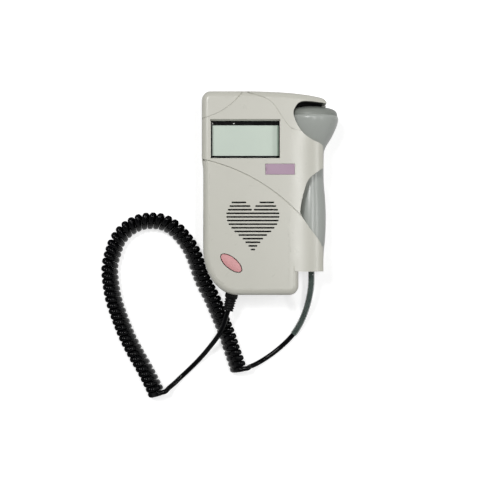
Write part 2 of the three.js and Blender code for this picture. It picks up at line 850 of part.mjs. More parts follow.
const magnetTop = rimTop - speaker.cupDepth - gap;
const atSpeaker = (radius, thickness, high) => post(speakerX, speakerY, radius, high - thickness, high);
const speakerMagnet = () => atSpeaker(speaker.magnetRadius, speaker.magnetHeight, magnetTop);
const speakerCloth = () => atSpeaker(speaker.clothRadius, speaker.clothThickness, clothTop);

function powerButton() {
  const { flangeWidth, flangeHeight, proud, crown, stemRadius, travel } = button;
  const flange = buttonOval(flangeWidth);
  const geometry = new THREE.ExtrudeGeometry(asRuns(buttonOval(0), 10), {
    depth: depth + proud - flangeTop + gap - 2 * crown,
    bevelThickness: crown,
    bevelSize: crown,
    bevelOffset: -crown,
    bevelSegments: 3,
  });
  return toSolid(geometry.translate(0, 0, flangeTop - gap + crown))
    .add(prism(flange, flangeTop - flangeHeight, flangeTop, 10))
    .add(post(buttonX, buttonY, stemRadius, switchTop + travel + gap, flangeTop - gap, 12));
}

function buttonSwitch() {
  const size = button.switchSize;
  return plate(buttonX, buttonY, size, size, boardHigh, switchTop - button.travel)
    .add(post(buttonX, buttonY, size / 4, boardHigh + gap, switchTop, 12));
}

// Battery cells and contacts

function batteryCell() {
  const r = cell.diameter / 2;
  const end = cell.length - cell.nubLength;
  const nub = cell.nubDiameter / 2;
  return turned([[0, 0], [r, 0], [r, end], [nub, end], [nub, cell.length], [0, cell.length]]);
}

// A contact plate at one end of the bay, with a bent leaf where it presses a cell's flat end
function contact(atTop, from, to, leafX) {
  const sign = atTop ? -1 : 1;
  const wallY = atTop ? bayTop - gap : bayBottom + gap;
  const t = sign * bay.contactThickness;
  const face = wallY + t;
  const low = cellZ - bay.contactWidth / 2;
  const high = low + bay.contactWidth;
  const strip = block(from, to, Math.min(wallY, face), Math.max(wallY, face), low, high);
  if (leafX === undefined) return strip;
  const reach = face + sign * (bay.springRoom - gap);
  const half = cell.diameter / 4;
  const leaf = shapeOf([
    [leafX - half, face - t / 2], [leafX, reach - t], [leafX + half, face - t / 2],
    [leafX + half, face], [leafX, reach], [leafX - half, face],
  ]);
  return strip.add(prism(leaf, cellZ - bay.leafWidth / 2, cellZ + bay.leafWidth / 2));
}

// Screws

function coverScrew() {
  const { headRadius, headHeight, shankRadius, length, slotWidth, slotDepth } = screw;
  const slotLength = 2 * headRadius * screw.slotShare;
  return post(0, 0, headRadius, 0, headHeight, 16)
    .add(post(0, 0, shankRadius, headHeight - gap, headHeight + length, 10))
    .subtract(plate(0, 0, slotLength, slotWidth, -overrun, slotDepth))
    .subtract(plate(0, 0, slotWidth, slotLength, -overrun, slotDepth));
}

// Probe, about its own axis: heights are places along the case

const headPoints = [
  [probe.seamRadius, faceY - probe.seamDepth],
  [probe.headRadius, faceY - probe.headDepth],
  ...coneShares.map(conePoint),
  [probe.neckRadius, neckY],
  ...gripShares.map(gripPoint),
  [probe.endRadius, handleEnd + probe.endRound],
  [probe.endRadius - probe.endRound, handleEnd],
];

function probeShell() {
  const seam = faceY - probe.seamDepth - gap;
  const outer = [[0, seam], [probe.seamRadius, seam], ...headPoints.slice(1), [0, handleEnd]];
  const inner = headPoints.slice(1).map(([r, y]) => [r - probe.shell, y]);
  const last = inner.length - 1;
  inner[last] = [probe.endRadius - probe.endRound, handleEnd + probe.shell];
  inner.splice(last - 1, 1);
  const mouth = probe.seamRadius - probe.shell;
  const above = seam + overrun;
  const hollow = [[0, above], [mouth, above], [mouth, seam], ...inner, [0, handleEnd + probe.shell]];
  const bore = [
    [0, handleEnd - overrun], [probe.glandRadius + gap, handleEnd - overrun],
    [probe.glandRadius + gap, handleEnd + overrun], [0, handleEnd + overrun],
  ];
  return turned(outer, 24).subtract(turned(hollow, 24)).subtract(turned(bore, 12));
}

const probeFrontShell = () => probeShell().intersect(everywhere(gap / 2, depth));
const probeRearShell = () => probeShell().intersect(everywhere(-depth, -gap / 2));

const seamY = faceY - probe.seamDepth;
const crystalTop = faceY - probe.domeHeight - probe.faceShell;

function probeFace() {
  const { rimRadius, domeHeight, seamRadius, faceShell } = probe;
  // The dome is a shallow bowl: its fall grows with the square of the radius
  const onDome = (share) => [rimRadius * share, faceY - domeHeight * share ** 2];
  const [innerRadius, innerY] = onDome(0.5);
  return turned([
    [0, faceY - faceShell], [innerRadius, innerY - faceShell], [seamRadius - faceShell, crystalTop],
    [seamRadius - faceShell, seamY], [seamRadius, seamY], onDome(1), onDome(0.75), onDome(0.5),
    onDome(0.25), [0, faceY],
  ], 24);
}

function probeCrystal() {
  const high = crystalTop - gap;
  const low = high - probe.crystalThickness;
  return turned([[0, low], [probe.crystalRadius, low], [probe.crystalRadius, high], [0, high]]);
}

function probeBoard() {
  const { boardWidth, boardThickness, boardTopInset, boardFootInset } = probe;
  const from = handleEnd + boardFootInset;
  const to = neckY - boardTopInset;
  const half = boardThickness / 2;
  return plate(0, (from + to) / 2, boardWidth, to - from, -half, half);
}

const cordRadius = cord.diameter / 2;
const cordBore = cordRadius / Math.cos(Math.PI / cord.sides) + gap / 2;
const glandEnd = handleEnd - probe.glandNose;

function probeGland() {
  const { glandFlange, glandFlangeHeight, glandRadius, glandTip, shell } = probe;
  const low = handleEnd + shell + gap;
  const high = low + glandFlangeHeight;
  return turned([
    [cordBore, glandEnd], [glandTip, glandEnd], [glandRadius, handleEnd - gap], [glandRadius, low],
    [glandFlange, low], [glandFlange, high], [cordBore, high], [cordBore, glandEnd],
  ], 16);
}

// Plug, boot and socket, about the plug's axis: heights run out of the case from its surface

function plugBarrel() {
  const { barrelRadius, barrelInside, barrelOutside } = plug;
  const chamfer = barrelRadius / 2;
  return turned([
    [0, -barrelInside], [barrelRadius - chamfer, -barrelInside], [barrelRadius, chamfer - barrelInside],
    [barrelRadius, barrelOutside], [0, barrelOutside],
  ], 16);
}

function plugBoot() {
  const { bootRadius, bootEndRadius, bootInside, bootLength, ribs, ribDepth } = plug;
  const bore = plug.barrelRadius + gap;
  const step = plug.barrelOutside + gap;
  const ribsFrom = bootLength * plug.plainShare;
  const [footShare, riseShare, crestShare] = plug.ribShares;
  const pitch = (bootLength - ribsFrom) / ribs;
  const outer = [[bootRadius, -bootInside], [bootRadius, ribsFrom]];
  for (let i = 0; i < ribs; i++) {
    const from = ribsFrom + i * pitch;
    const end = from + pitch;
    const r = bootRadius + (bootEndRadius - bootRadius) * (end / bootLength);
    outer.push([r - ribDepth, from + pitch * footShare], [r - ribDepth, from + pitch * riseShare]);
    outer.push([r, from + pitch * crestShare], [r, end]);
  }
  return turned([
    ...outer, [cordBore, bootLength], [cordBore, step], [bore, step], [bore, -bootInside],
    [bootRadius, -bootInside],
  ], 16);
}

function cordSocket() {
  const { socketRadius, socketLength, barrelRadius } = plug;
  const back = -socketSeat - socketLength;
  return turned([
    [0, back], [socketRadius, back], [socketRadius, -socketSeat], [barrelRadius + gap, -socketSeat],
    [barrelRadius + gap, -plug.barrelInside - gap], [0, -plug.barrelInside - gap],
  ], 16);
}

function earphoneJack() {
  const y = bottom + wall + gap;
  const half = jack.width / 2;
  return block(jackX - half, jackX + half, y, y + jack.length, jack.height - half, jack.height + half)
    .add(fromBottom(jack.noseRadius, 0, wall + 2 * gap, 14))
    .subtract(fromBottom(jack.boreRadius, -overrun, jack.boreDepth, 12));
}

// Cord: the route of its coil, from the low left corner of the case, and of its two tails,
// from the boot and from the gland. The points are chosen by hand, in millimetres.

const coilHeight = cord.curlRadius + cord.diameter / 2 + cord.ride;
const coilRoute = [
  [-33.4, -71.8], [-37.7, -62.5], [-42.7, -52.8], [-48.2, -43.3], [-54.5, -30.9], [-60.5, -15.6],
  [-64.5, -2.9], [-67, 15.5], [-66.6, 21.8], [-64.3, 30.3], [-61.2, 38.5], [-54.8, 45.9],
  [-46.1, 50.8], [-37.9, 52.2], [-29.3, 51.3], [-21.5, 47.4], [-14.9, 40.9], [-9.1, 32.6],
  [-5.5, 24.6], [-2.9, 16.8], [1.3, 6.4], [6.1, -2.6], [10, -11.8], [13.6, -20.2], [17.4, -29.7],
  [20.4, -39.4], [23.2, -47.3], [25.4, -54.3],
].map(([x, y]) => [left + x, bottom + y]);
const plugTailRoute = [
  [-1.58, -5.01, -0.1], [-3.09, -10.12, -0.4], [-5.39, -15.23, -1.6], [-8.81, -20.64, -4.2],
  [-13.02, -26.24, -7.4], [-17.43, -31.75, -10.6], [-21.94, -36.95, -13], [-26.35, -41.48, -14.05],
  [-30.67, -45.6, -14.2], [-34.98, -49.63, -13.9], [-38.99, -53.27, -12.1], [-42.69, -56.22, -9.2],
  [-44.77, -58.13, -5.8],
];
const probeTailRoute = [
  [0, -8.9, -0.7], [-0.5, -15.3, -2.6], [-1.6, -21.9, -5.7], [-3.2, -28.4, -9.4],
  [-5.4, -34.9, -12.8], [-8.2, -40.9, -15.2], [-11.8, -46.5, -16.6], [-16.4, -51.7, -17.2],
  [-21.8, -56.7, -17.7], [-27.6, -61.3, -17.8], [-33.4, -65.2, -17.5], [-39, -68.2, -15.4],
  [-43.6, -69.9, -12.2], [-44.68, -70.53, -9.4],
];
const sleeveRuns = 7; // the clear sleeve covers this many runs of the probe's tail

// The coil's axis, its left side and its turn so far, at even steps
function coilStations() {
  const places = coilRoute.map(([x, y]) => new THREE.Vector3(x, y, coilHeight));
  const curve = new THREE.CatmullRomCurve3(places, false, "centripetal");
  curve.arcLengthDivisions = 2000;
  const count = 4000;
  const length = curve.getLength();
  const outer = cord.curlRadius + cord.diameter / 2;
  const stations = [];
  let turn = 0;
  let heading = null;
  for (let i = 0; i <= count; i++) {
    const tangent = curve.getTangentAt(i / count);
    const angle = Math.atan2(tangent.y, tangent.x);
    if (heading !== null) {
      const step = length / count;
      const bend = Math.abs(Math.atan2(Math.sin(angle - heading), Math.cos(angle - heading))) / step;
      turn += (2 * Math.PI * step) / (cord.curlPitch * (1 + outer * bend));
    }
    heading = angle;
    stations.push({ at: curve.getPointAt(i / count), tangent, turn });
  }
  return stations;
}

// Middle line of the curly cord: whole left-handed curls that start and end on top, with a
// straight lead of one diameter at either end
function curlLine() {
  const stations = coilStations();
  const last = stations[stations.length - 1].turn;
  const curls = Math.round(last / (2 * Math.PI));
  const count = curls * cord.curlSteps;
  const points = [];
  let index = 0;
  for (let i = 0; i <= count; i++) {
    const turn = (i / count) * last;
    while (index < stations.length - 1 && stations[index].turn < turn) index++;
    const { at, tangent } = stations[index];
    const phase = (i / cord.curlSteps) * 2 * Math.PI;
    const side = new THREE.Vector3(-tangent.y, tangent.x, 0);
    points.push(at.clone().addScaledVector(side, Math.sin(phase) * cord.curlRadius)
      .add(new THREE.Vector3(0, 0, Math.cos(phase) * cord.curlRadius)));
  }
  const headingAt = (station, way) => {
    const side = new THREE.Vector3(-station.tangent.y, station.tangent.x, 0);
    const rise = cord.curlPitch / (2 * Math.PI * cord.curlRadius);
    return side.addScaledVector(station.tangent, rise).normalize().multiplyScalar(way);
  };
  const start = { way: headingAt(stations[0], -1) };
  const end = { way: headingAt(stations[stations.length - 1], 1) };
  start.at = points[0].clone().addScaledVector(start.way, cord.diameter);
  end.at = points[points.length - 1].clone().addScaledVector(end.way, cord.diameter);
  return { points: [start.at, ...points, end.at], start, end, curls };
}

// One unbroken tube through rings of points
function tubeAlong(points, radius, sides) {
  const positions = [];
  const index = [];
  let across = new THREE.Vector3(0, 0, 1);
  points.forEach((point, i) => {
    const before = points[Math.max(i - 1, 0)];
    const after = points[Math.min(i + 1, points.length - 1)];
    const tangent = after.clone().sub(before).normalize();
    across = across.addScaledVector(tangent, -across.dot(tangent)).normalize();
    const other = tangent.clone().cross(across);
    for (let k = 0; k < sides; k++) {
      const angle = (k / sides) * 2 * Math.PI;
      const spot = point.clone()
        .addScaledVector(across, radius * Math.cos(angle))
        .addScaledVector(other, radius * Math.sin(angle));
      positions.push(spot.x, spot.y, spot.z);
    }
  });
  for (let i = 0; i < points.length - 1; i++) {
    for (let k = 0; k < sides; k++) {
      const a = i * sides + k;
      const b = i * sides + ((k + 1) % sides);
      index.push(a, b, b + sides, a, b + sides, a + sides);
    }
  }
  const end = (points.length - 1) * sides;
  for (let k = 1; k < sides - 1; k++) index.push(0, k + 1, k, end, end + k, end + k + 1);
  const geometry = new THREE.BufferGeometry();
  geometry.setAttribute("position", new THREE.Float32BufferAttribute(positions, 3));
  geometry.setIndex(index);
  return toSolid(geometry);
}

// Least gap between curls, measured on the middle line away from each point's own turn
function leastGap(points) {
  const near = Math.ceil(cord.curlSteps / 2) + 1;
  const fine = new THREE.CatmullRomCurve3(points).getPoints(points.length * 4);
  let least = Infinity;
  for (let i = 0; i < fine.length; i++) {
    const upTo = Math.min(fine.length, i + cord.curlSteps * 8);
    for (let j = i + near * 4; j < upTo; j++) least = Math.min(least, fine[i].distanceTo(fine[j]));
  }
  return least - cord.diameter;
}

const curl = curlLine();
const axisOut = new THREE.Vector3(-Math.sin(plug.turn), -Math.cos(plug.turn), 0);
const socketPoint = new THREE.Vector3(socketX, socketY, plug.height);
const plugTailStart = socketPoint.clone().addScaledVector(axisOut, plug.barrelOutside + 2 * gap);
const bootEnd = socketPoint.clone().addScaledVector(axisOut, plug.bootLength);
const probeTailStart = new THREE.Vector3(axisX, handleEnd + probe.shell, axisZ);
const glandPoint = new THREE.Vector3(axisX, glandEnd, axisZ);

// A tail's points from where it leaves, stretched evenly so that the last meets the curls
function tailPoints(inside, from, route, { at, way }) {
  const last = at.clone().addScaledVector(way, cord.diameter);
  const miss = last.clone().sub(from).sub(new THREE.Vector3(...route[route.length - 1]));
  const points = route.map((offset, i) => new THREE.Vector3(...offset)
    .add(from)
    .addScaledVector(miss, (i + 1) / route.length));
  return [inside, from, ...points, at.clone().addScaledVector(way, gap)];
}

const plugTailPoints = tailPoints(plugTailStart, bootEnd, plugTailRoute, curl.start);
const probeTailPoints = tailPoints(probeTailStart, glandPoint, probeTailRoute, curl.end);
const plugTail = new THREE.CatmullRomCurve3(plugTailPoints, false, "centripetal");
const probeTail = new THREE.CatmullRomCurve3(probeTailPoints, false, "centripetal");

// The plug's tail ends in a face that lies along the plug's pull, so that it slides past the
// curls when the plug comes out
function cutAlongPull(made) {
  const across = new THREE.Vector3(-axisOut.y, axisOut.x, 0);
  const overhang = cordRadius * Math.sqrt(1 - across.dot(curl.start.way) ** 2);
  const offset = across.dot(curl.start.at) + overhang + gap;
  return made.trimByPlane(across.toArray(), offset);
}

// A plain stretch of cord, straight for one diameter at either end
function alongCurve(curve, radius, sides, spacing) {
  const length = curve.getLength();
  const runs = Math.round(length / spacing);
  const points = curve.getSpacedPoints(runs);
  const lead = (2 * radius) / length;
  const [start, end] = [points[0], points[runs]];
  const startWay = curve.getPointAt(lead).sub(start).normalize();
  const endWay = curve.getPointAt(1 - lead).sub(end).normalize();
  points[1] = start.clone().addScaledVector(startWay, 2 * radius);
  points[runs - 1] = end.clone().addScaledVector(endWay, 2 * radius);
  return tubeAlong(points, radius, sides);
}

// The sleeve follows the same curve as the cord inside it
function cordSleeve() {
  const from = new THREE.Vector3(axisX, glandEnd - gap, axisZ);
  const to = probeTailPoints[sleeveRuns + 1];
  const whole = probeTail.getSpacedPoints(600);
  const nearest = (target) => {
    const away = whole.map((p) => p.distanceTo(target));
    return away.indexOf(Math.min(...away));
  };
  const [first, last] = [nearest(from), nearest(to)];
  const count = 16;
  const spine = [];
  for (let i = 0; i <= count; i++) {
    const index = Math.round(first + ((last - first) * i) / count);
    spine.push(whole[index].clone());
  }
  const line = new THREE.CatmullRomCurve3(spine);
  const longer = [...spine];
  longer.unshift(spine[0].clone().addScaledVector(line.getTangent(0), -cord.sleeveRadius));
  longer.push(spine[count].clone().addScaledVector(line.getTangent(1), cord.sleeveRadius));
  return tubeAlong(spine, cord.sleeveRadius, cord.sides)
    .subtract(tubeAlong(longer, cord.sleeveBore, cord.sides));
}

// Materials, seen on the object

function finish(color, roughness, metalness = 0) {
  return new THREE.MeshStandardMaterial({ color, roughness, metalness, flatShading: true });
}

const finishes = {
  shell: () => finish(0xc8c8be, 0.5),
  lens: () => Object.assign(finish(0xdfe8e0, 0.08), { transparent: true, opacity: 0.35 }),
  mask: () => finish(0x17191a, 0.4),
  glass: () => finish(0xbdd0c0, 0.2),
  light: () => finish(0xf0f2ea, 0.6),
  board: () => finish(0x2f6b3c, 0.55),
  metal: () => finish(0xb9bcc0, 0.3, 1),
  brass: () => finish(0xc9a75a, 0.35, 1),
  magnet: () => finish(0x54575a, 0.45, 0.8),
  paper: () => finish(0x2a2a2a, 0.9),
  pink: () => finish(0xdba0a2, 0.4),
  mauve: () => finish(0xbea0be, 0.5),
  black: () => finish(0x141416, 0.45),
  cellSleeve: () => finish(0x3a5f8a, 0.35),
  probeShell: () => finish(0xa5aca5, 0.45),
  probeFace: () => finish(0x878a82, 0.5),
  crystal: () => finish(0xd8c9a0, 0.5),
  cord: () => finish(0x0b0b0d, 0.2),
  sleeve: () => Object.assign(finish(0xc8d4c8, 0.1), { transparent: true, opacity: 0.4 }),
};

// Assembly

const doppler = new THREE.Group();
const probeGroup = new THREE.Group();
probeGroup.position.set(axisX, 0, axisZ);
const plugGroup = new THREE.Group();
plugGroup.position.copy(socketPoint);
plugGroup.rotation.z = Math.PI - plug.turn;
doppler.add(probeGroup, plugGroup);

function addPiece(name, made, material, group = doppler) {
  const mesh = new THREE.Mesh(toGeometry(made), material);
  mesh.name = name;
  group.add(mesh);
  return mesh;
}

addPiece("front_cover", frontCover(), finishes.shell());
addPiece("rear_cover", rearCover(), finishes.shell());
addPiece("display_lens", displayLens(), finishes.lens());
addPiece("display_frame", displayFrame(), finishes.mask());
addPiece("display_glass", displayGlass(), finishes.glass());
addPiece("display_backlight", displayLight(), finishes.light());
addPiece("circuit_board", circuitBoard(), finishes.board());
addPiece("speaker_frame", speakerFrame(), finishes.metal());
addPiece("speaker_cone", speakerCone(), finishes.paper());
addPiece("speaker_magnet", speakerMagnet(), finishes.magnet());
addPiece("speaker_cloth", speakerCloth(), finishes.paper());
const frontLabel = plate(labelX, labelY, label.width, label.height, depth - label.thickness, depth);
addPiece("front_label", frontLabel, finishes.mauve());
addPiece("power_button", powerButton(), finishes.pink());
addPiece("button_switch", buttonSwitch(), finishes.black());
addPiece("battery_door", batteryDoor(), finishes.shell());

const cellXs = [bayX - cellSpacing / 2, bayX + cellSpacing / 2];
const nubUp = addPiece("battery_cell_left", batteryCell(), finishes.cellSleeve());
nubUp.position.set(cellXs[0], bayTop - 2 * gap - bay.contactThickness - cell.length, cellZ);
const nubDown = addPiece("battery_cell_right", batteryCell(), finishes.cellSleeve());
nubDown.position.set(cellXs[1], bayBottom + 2 * gap + bay.contactThickness + cell.length, cellZ);
nubDown.rotation.z = Math.PI;
const contactHalf = bay.contactWidth / 2;
const [cellLeft, cellRight] = cellXs;
const bridge = contact(false, cellLeft - contactHalf, cellRight + contactHalf, cellLeft);
const positive = contact(true, cellLeft - contactHalf, cellLeft + contactHalf);
const negative = contact(true, cellRight - contactHalf, cellRight + contactHalf, cellRight);
addPiece("contact_bridge", bridge, finishes.brass());
addPiece("contact_positive", positive, finishes.brass());
addPiece("contact_negative", negative, finishes.brass());

screwPlaces.forEach(([x, y], i) => {
  const mesh = addPiece(`cover_screw_${i + 1}`, coverScrew(), finishes.metal());
  mesh.position.set(x, y, screw.sink);
});

addPiece("probe_front_shell", probeFrontShell(), finishes.probeShell(), probeGroup);
addPiece("probe_rear_shell", probeRearShell(), finishes.probeShell(), probeGroup);
addPiece("probe_face", probeFace(), finishes.probeFace(), probeGroup);
addPiece("probe_crystal", probeCrystal(), finishes.crystal(), probeGroup);
addPiece("probe_board", probeBoard(), finishes.board(), probeGroup);
addPiece("probe_gland", probeGland(), finishes.black(), probeGroup);

addPiece("plug_barrel", plugBarrel(), finishes.metal(), plugGroup);
addPiece("plug_boot", plugBoot(), finishes.black(), plugGroup);
addPiece("cord_socket", cordSocket(), finishes.black(), plugGroup);
addPiece("earphone_jack", earphoneJack(), finishes.black());

const tailRun = 2 * cord.diameter;
addPiece("probe_cord_sleeve", cordSleeve(), finishes.sleeve());
const plugEndCord = alongCurve(plugTail, cordRadius, cord.sides, tailRun);
addPiece("plug_end_cord", cutAlongPull(plugEndCord), finishes.cord());
addPiece("curly_cord", tubeAlong(curl.points, cordRadius, cord.curlSides), finishes.cord());
const probeEndCord = alongCurve(probeTail, cordRadius, cord.sides, tailRun);
addPiece("probe_end_cord", probeEndCord, finishes.cord());

const curlGap = leastGap(curl.points.slice(1, -1)).toFixed(2);
console.log(`curls ${curl.curls}, least gap between them ${curlGap} mm`);

export default doppler;
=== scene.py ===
# %% [markdown]
# # Fetal doppler monitor
#
# The object is a pocket doppler: a pale grey case with a small display, a heart of speaker slots,
# a pink button and a probe parked in a holster along its right side. A black curly cord joins the
# probe to the case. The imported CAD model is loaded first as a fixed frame. Every piece below is
# built in the same metres and in the same place, so nothing has to be fitted afterwards.

# %% Load the frame
import json
import math

import bmesh
import bpy
from mathutils import Matrix, Vector

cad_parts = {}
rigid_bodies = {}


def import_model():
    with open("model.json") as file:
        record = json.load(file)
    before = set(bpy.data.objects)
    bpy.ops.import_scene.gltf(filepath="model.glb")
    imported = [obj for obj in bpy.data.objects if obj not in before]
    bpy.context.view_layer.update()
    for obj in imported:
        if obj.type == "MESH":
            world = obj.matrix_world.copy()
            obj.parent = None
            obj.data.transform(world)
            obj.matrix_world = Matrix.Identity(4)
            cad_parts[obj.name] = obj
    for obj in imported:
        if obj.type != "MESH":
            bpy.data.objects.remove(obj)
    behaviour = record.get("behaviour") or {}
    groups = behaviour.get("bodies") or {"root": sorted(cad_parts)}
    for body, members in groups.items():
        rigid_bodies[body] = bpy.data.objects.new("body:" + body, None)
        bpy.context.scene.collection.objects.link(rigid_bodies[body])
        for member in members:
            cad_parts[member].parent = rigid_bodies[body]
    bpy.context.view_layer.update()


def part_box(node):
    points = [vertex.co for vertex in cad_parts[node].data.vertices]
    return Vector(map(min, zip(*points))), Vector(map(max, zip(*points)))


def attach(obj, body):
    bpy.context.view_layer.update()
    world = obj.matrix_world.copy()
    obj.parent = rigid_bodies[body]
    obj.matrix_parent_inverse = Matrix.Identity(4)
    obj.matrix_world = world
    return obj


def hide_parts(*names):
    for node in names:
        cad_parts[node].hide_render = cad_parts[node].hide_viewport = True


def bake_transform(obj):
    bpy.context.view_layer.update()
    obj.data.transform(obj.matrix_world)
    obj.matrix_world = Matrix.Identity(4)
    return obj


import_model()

# %% [markdown]
# Sizes are easiest to read in millimetres, and Blender works in metres. One factor turns the
# first into the second. The places below repeat the ones that the CAD was drawn with: the probe's
# axis, the top end of the case, and the plane where the two covers meet.

# %% Shared sizes
MM = 0.001
CASE_TOP = 71.0
CASE_DEPTH = 36.0
CASE_RIGHT = 36.9
PARTING = 18.0
COVER_GAP = 0.3
WALL = 2.2
AXIS_X, AXIS_Z = 29.0, 19.6


def metres(point):
    """A point in millimetres as a Vector in metres."""
    return Vector(point) * MM


print("case", CASE_DEPTH, "mm deep, probe axis at", AXIS_X, AXIS_Z)

# %% [markdown]
# The photograph looks straight down on the unit from a little over 80 cm. The camera comes first,
# because the cords are laid out against its view: what it sees must match the photograph, and
# nothing may spread far outside it.

# %% Camera
VIEW_WIDTH, VIEW_DISTANCE, VIEW_CENTRE = 338.9, 814.0, (-18.2, -35.1)
SENSOR = 36.0
camera_data = bpy.data.cameras.new("camera")
camera_data.sensor_width = SENSOR
camera_data.lens = SENSOR * VIEW_DISTANCE / VIEW_WIDTH
camera_data.clip_end = 20.0
camera = bpy.data.objects.new("camera", camera_data)
camera.location = metres((*VIEW_CENTRE, VIEW_DISTANCE + CASE_DEPTH))
bpy.context.scene.collection.objects.link(camera)
bpy.context.scene.camera = camera
print("lens", round(camera_data.lens, 1), "mm")

# %% [markdown]
# A cord is drawn as a middle line first. The photograph gives a handful of points along it, and a
# centripetal Catmull-Rom curve goes through all of them without overshooting at tight bends. The
# curve is then walked at even steps, so that rings and curls are spaced by real length.

# %% Smooth line through points


def curve_through(points, fine=24):
    """Points along a centripetal Catmull-Rom curve through the given ones."""
    spots = [Vector(p) for p in points]
    spots = [2 * spots[0] - spots[1], *spots, 2 * spots[-1] - spots[-2]]
    line = []
    for a, b, c, d in zip(spots, spots[1:], spots[2:], spots[3:]):
        first, middle, last = ((q - p).length ** 0.5 for p, q in ((a, b), (b, c), (c, d)))
        leave = (b - a) / first - (c - a) / (first + middle) + (c - b) / middle
        arrive = (c - b) / middle - (d - b) / (middle + last) + (d - c) / last
        leave, arrive = leave * middle, arrive * middle
        for step in range(fine):
            t = step / fine
            square = t * t * (-2 * leave - arrive + 3 * (c - b))
            cube = t * t * t * (2 * (b - c) + leave + arrive)
            line.append(b + leave * t + square + cube)
    line.append(spots[-2].copy())
    return line


def even_steps(line, count):
    """The same line as count + 1 points at equal distances."""
    reached = [0.0]
    for p, q in zip(line, line[1:]):
        reached.append(reached[-1] + (q - p).length)
    places, index = [], 0
    for step in range(count + 1):
        target = reached[-1] * step / count
        while index < len(line) - 2 and reached[index + 1] < target:
            index += 1
        run = reached[index + 1] - reached[index]
        share = (target - reached[index]) / run if run else 0.0
        places.append(line[index].lerp(line[index + 1], share))
    return places


def line_length(line):
    """Length along a line of points."""
    return sum((q - p).length for p, q in zip(line, line[1:]))


test_line = curve_through([(0, 0, 0), (50, 0, 0), (100, 0, 0)])
print("a straight test line measures", line_length(test_line))

# %% [markdown]
# The curly part winds round a route that lies on the surface under the unit. Where the route
# bends, the curls open on the outside, so each turn takes more of the route there. The winding is
# left-handed, and it starts and ends on top, where the plain ends join it.

# %% Middle line of the curly cord
CORD_RADIUS = 1.75
CURL_CORD_RADIUS = 1.95
CURL_RADIUS = 4.2
CURL_LIFT = 4.0
CURL_PITCH = 4.0
CURL_STEPS = 18
COIL_STATIONS = 4000
CLEARANCE = 0.05
COIL_HEIGHT = CURL_RADIUS + CORD_RADIUS + CLEARANCE
COIL_ROUTE = [
    (-81.4, -142.8), (-85.7, -133.5), (-90.7, -123.8), (-96.2, -114.3), (-102.5, -101.9),
    (-108.5, -86.6), (-112.5, -73.9), (-115.0, -55.5), (-114.6, -49.2), (-112.3, -40.7),
    (-109.2, -32.5), (-102.8, -25.1), (-94.1, -20.2), (-85.9, -18.8), (-77.3, -19.7),
    (-69.5, -23.6), (-62.9, -30.1), (-57.1, -38.4), (-53.5, -46.4), (-50.9, -54.2), (-46.7, -64.6),
    (-41.9, -73.6), (-38.0, -82.8), (-34.4, -91.2), (-30.6, -100.7), (-27.6, -110.4),
    (-24.8, -118.3), (-22.6, -125.3),
]
coil_route = curve_through([(x, y, COIL_HEIGHT) for x, y in COIL_ROUTE], 80)
coil_axis = even_steps(coil_route, COIL_STATIONS)
coil_step = line_length(coil_axis) / COIL_STATIONS
coil_ways = [(q - p).normalized() for p, q in zip(coil_axis, coil_axis[1:])]
coil_ways.append(coil_ways[-1])
coil_turns = [0.0]
for before, after in zip(coil_ways, coil_ways[1:]):
    bend = before.angle(after, 0.0) / coil_step
    opened = CURL_PITCH * (1 + (CURL_RADIUS + CORD_RADIUS) * bend)
    coil_turns.append(coil_turns[-1] + 2 * math.pi * coil_step / opened)
curls = round(coil_turns[-1] / (2 * math.pi))
print("curls", curls, "on a route of", round(line_length(coil_axis)), "mm")

# %% [markdown]
# A helix is a point that circles round the route while it moves along it. The turns were added up
# above, so an even step of turn now finds its place on the route by looking between two stations.
# Each end gets a short straight lead in the direction in which the cord leaves the winding.

# %% Wind the curls
CORD = 2 * CORD_RADIUS


def left_of(way):
    """The direction across a level way, to its left."""
    return Vector((-way.y, way.x, 0.0))


def lead_way(way, sign):
    """Direction in which a plain lead leaves the curls."""
    return sign * (left_of(way) + way * CURL_PITCH / (2 * math.pi * CURL_RADIUS)).normalized()


curl_line, curl_reach, station = [], [], 0
for step in range(curls * CURL_STEPS + 1):
    wound = coil_turns[-1] * step / (curls * CURL_STEPS)
    while station < len(coil_turns) - 1 and coil_turns[station] < wound:
        station += 1
    last, phase = max(station - 1, 0), 2 * math.pi * step / CURL_STEPS
    run = coil_turns[station] - coil_turns[last]
    share = (coil_turns[station] - wound) / run if run else 0.0
    lift = Vector((0.0, 0.0, CURL_LIFT * math.cos(phase)))
    curl_reach.append(CURL_RADIUS * math.sin(phase) * left_of(coil_ways[station]) + lift)
    curl_line.append(coil_axis[station].lerp(coil_axis[last], share) + curl_reach[-1])
start_way, end_way = lead_way(coil_ways[0], -1), lead_way(coil_ways[-1], 1)
curl_start = curl_line[0] + start_way * CORD
curl_end = curl_line[-1] + end_way * CORD
curl_line = [curl_start, *curl_line, curl_end]
curl_reach = [curl_reach[0], *curl_reach, curl_reach[-1]]
print("curly cord is", round(line_length(curl_line)), "mm along its middle")

# %% [markdown]
# Each plain end is one smooth curve: straight out of its boot or gland, down on to the surface,
# and up again to meet the curls. The plug's end leaves the low corner of the case, tilted by 13
# degrees, and the probe's end leaves the foot of the handle.

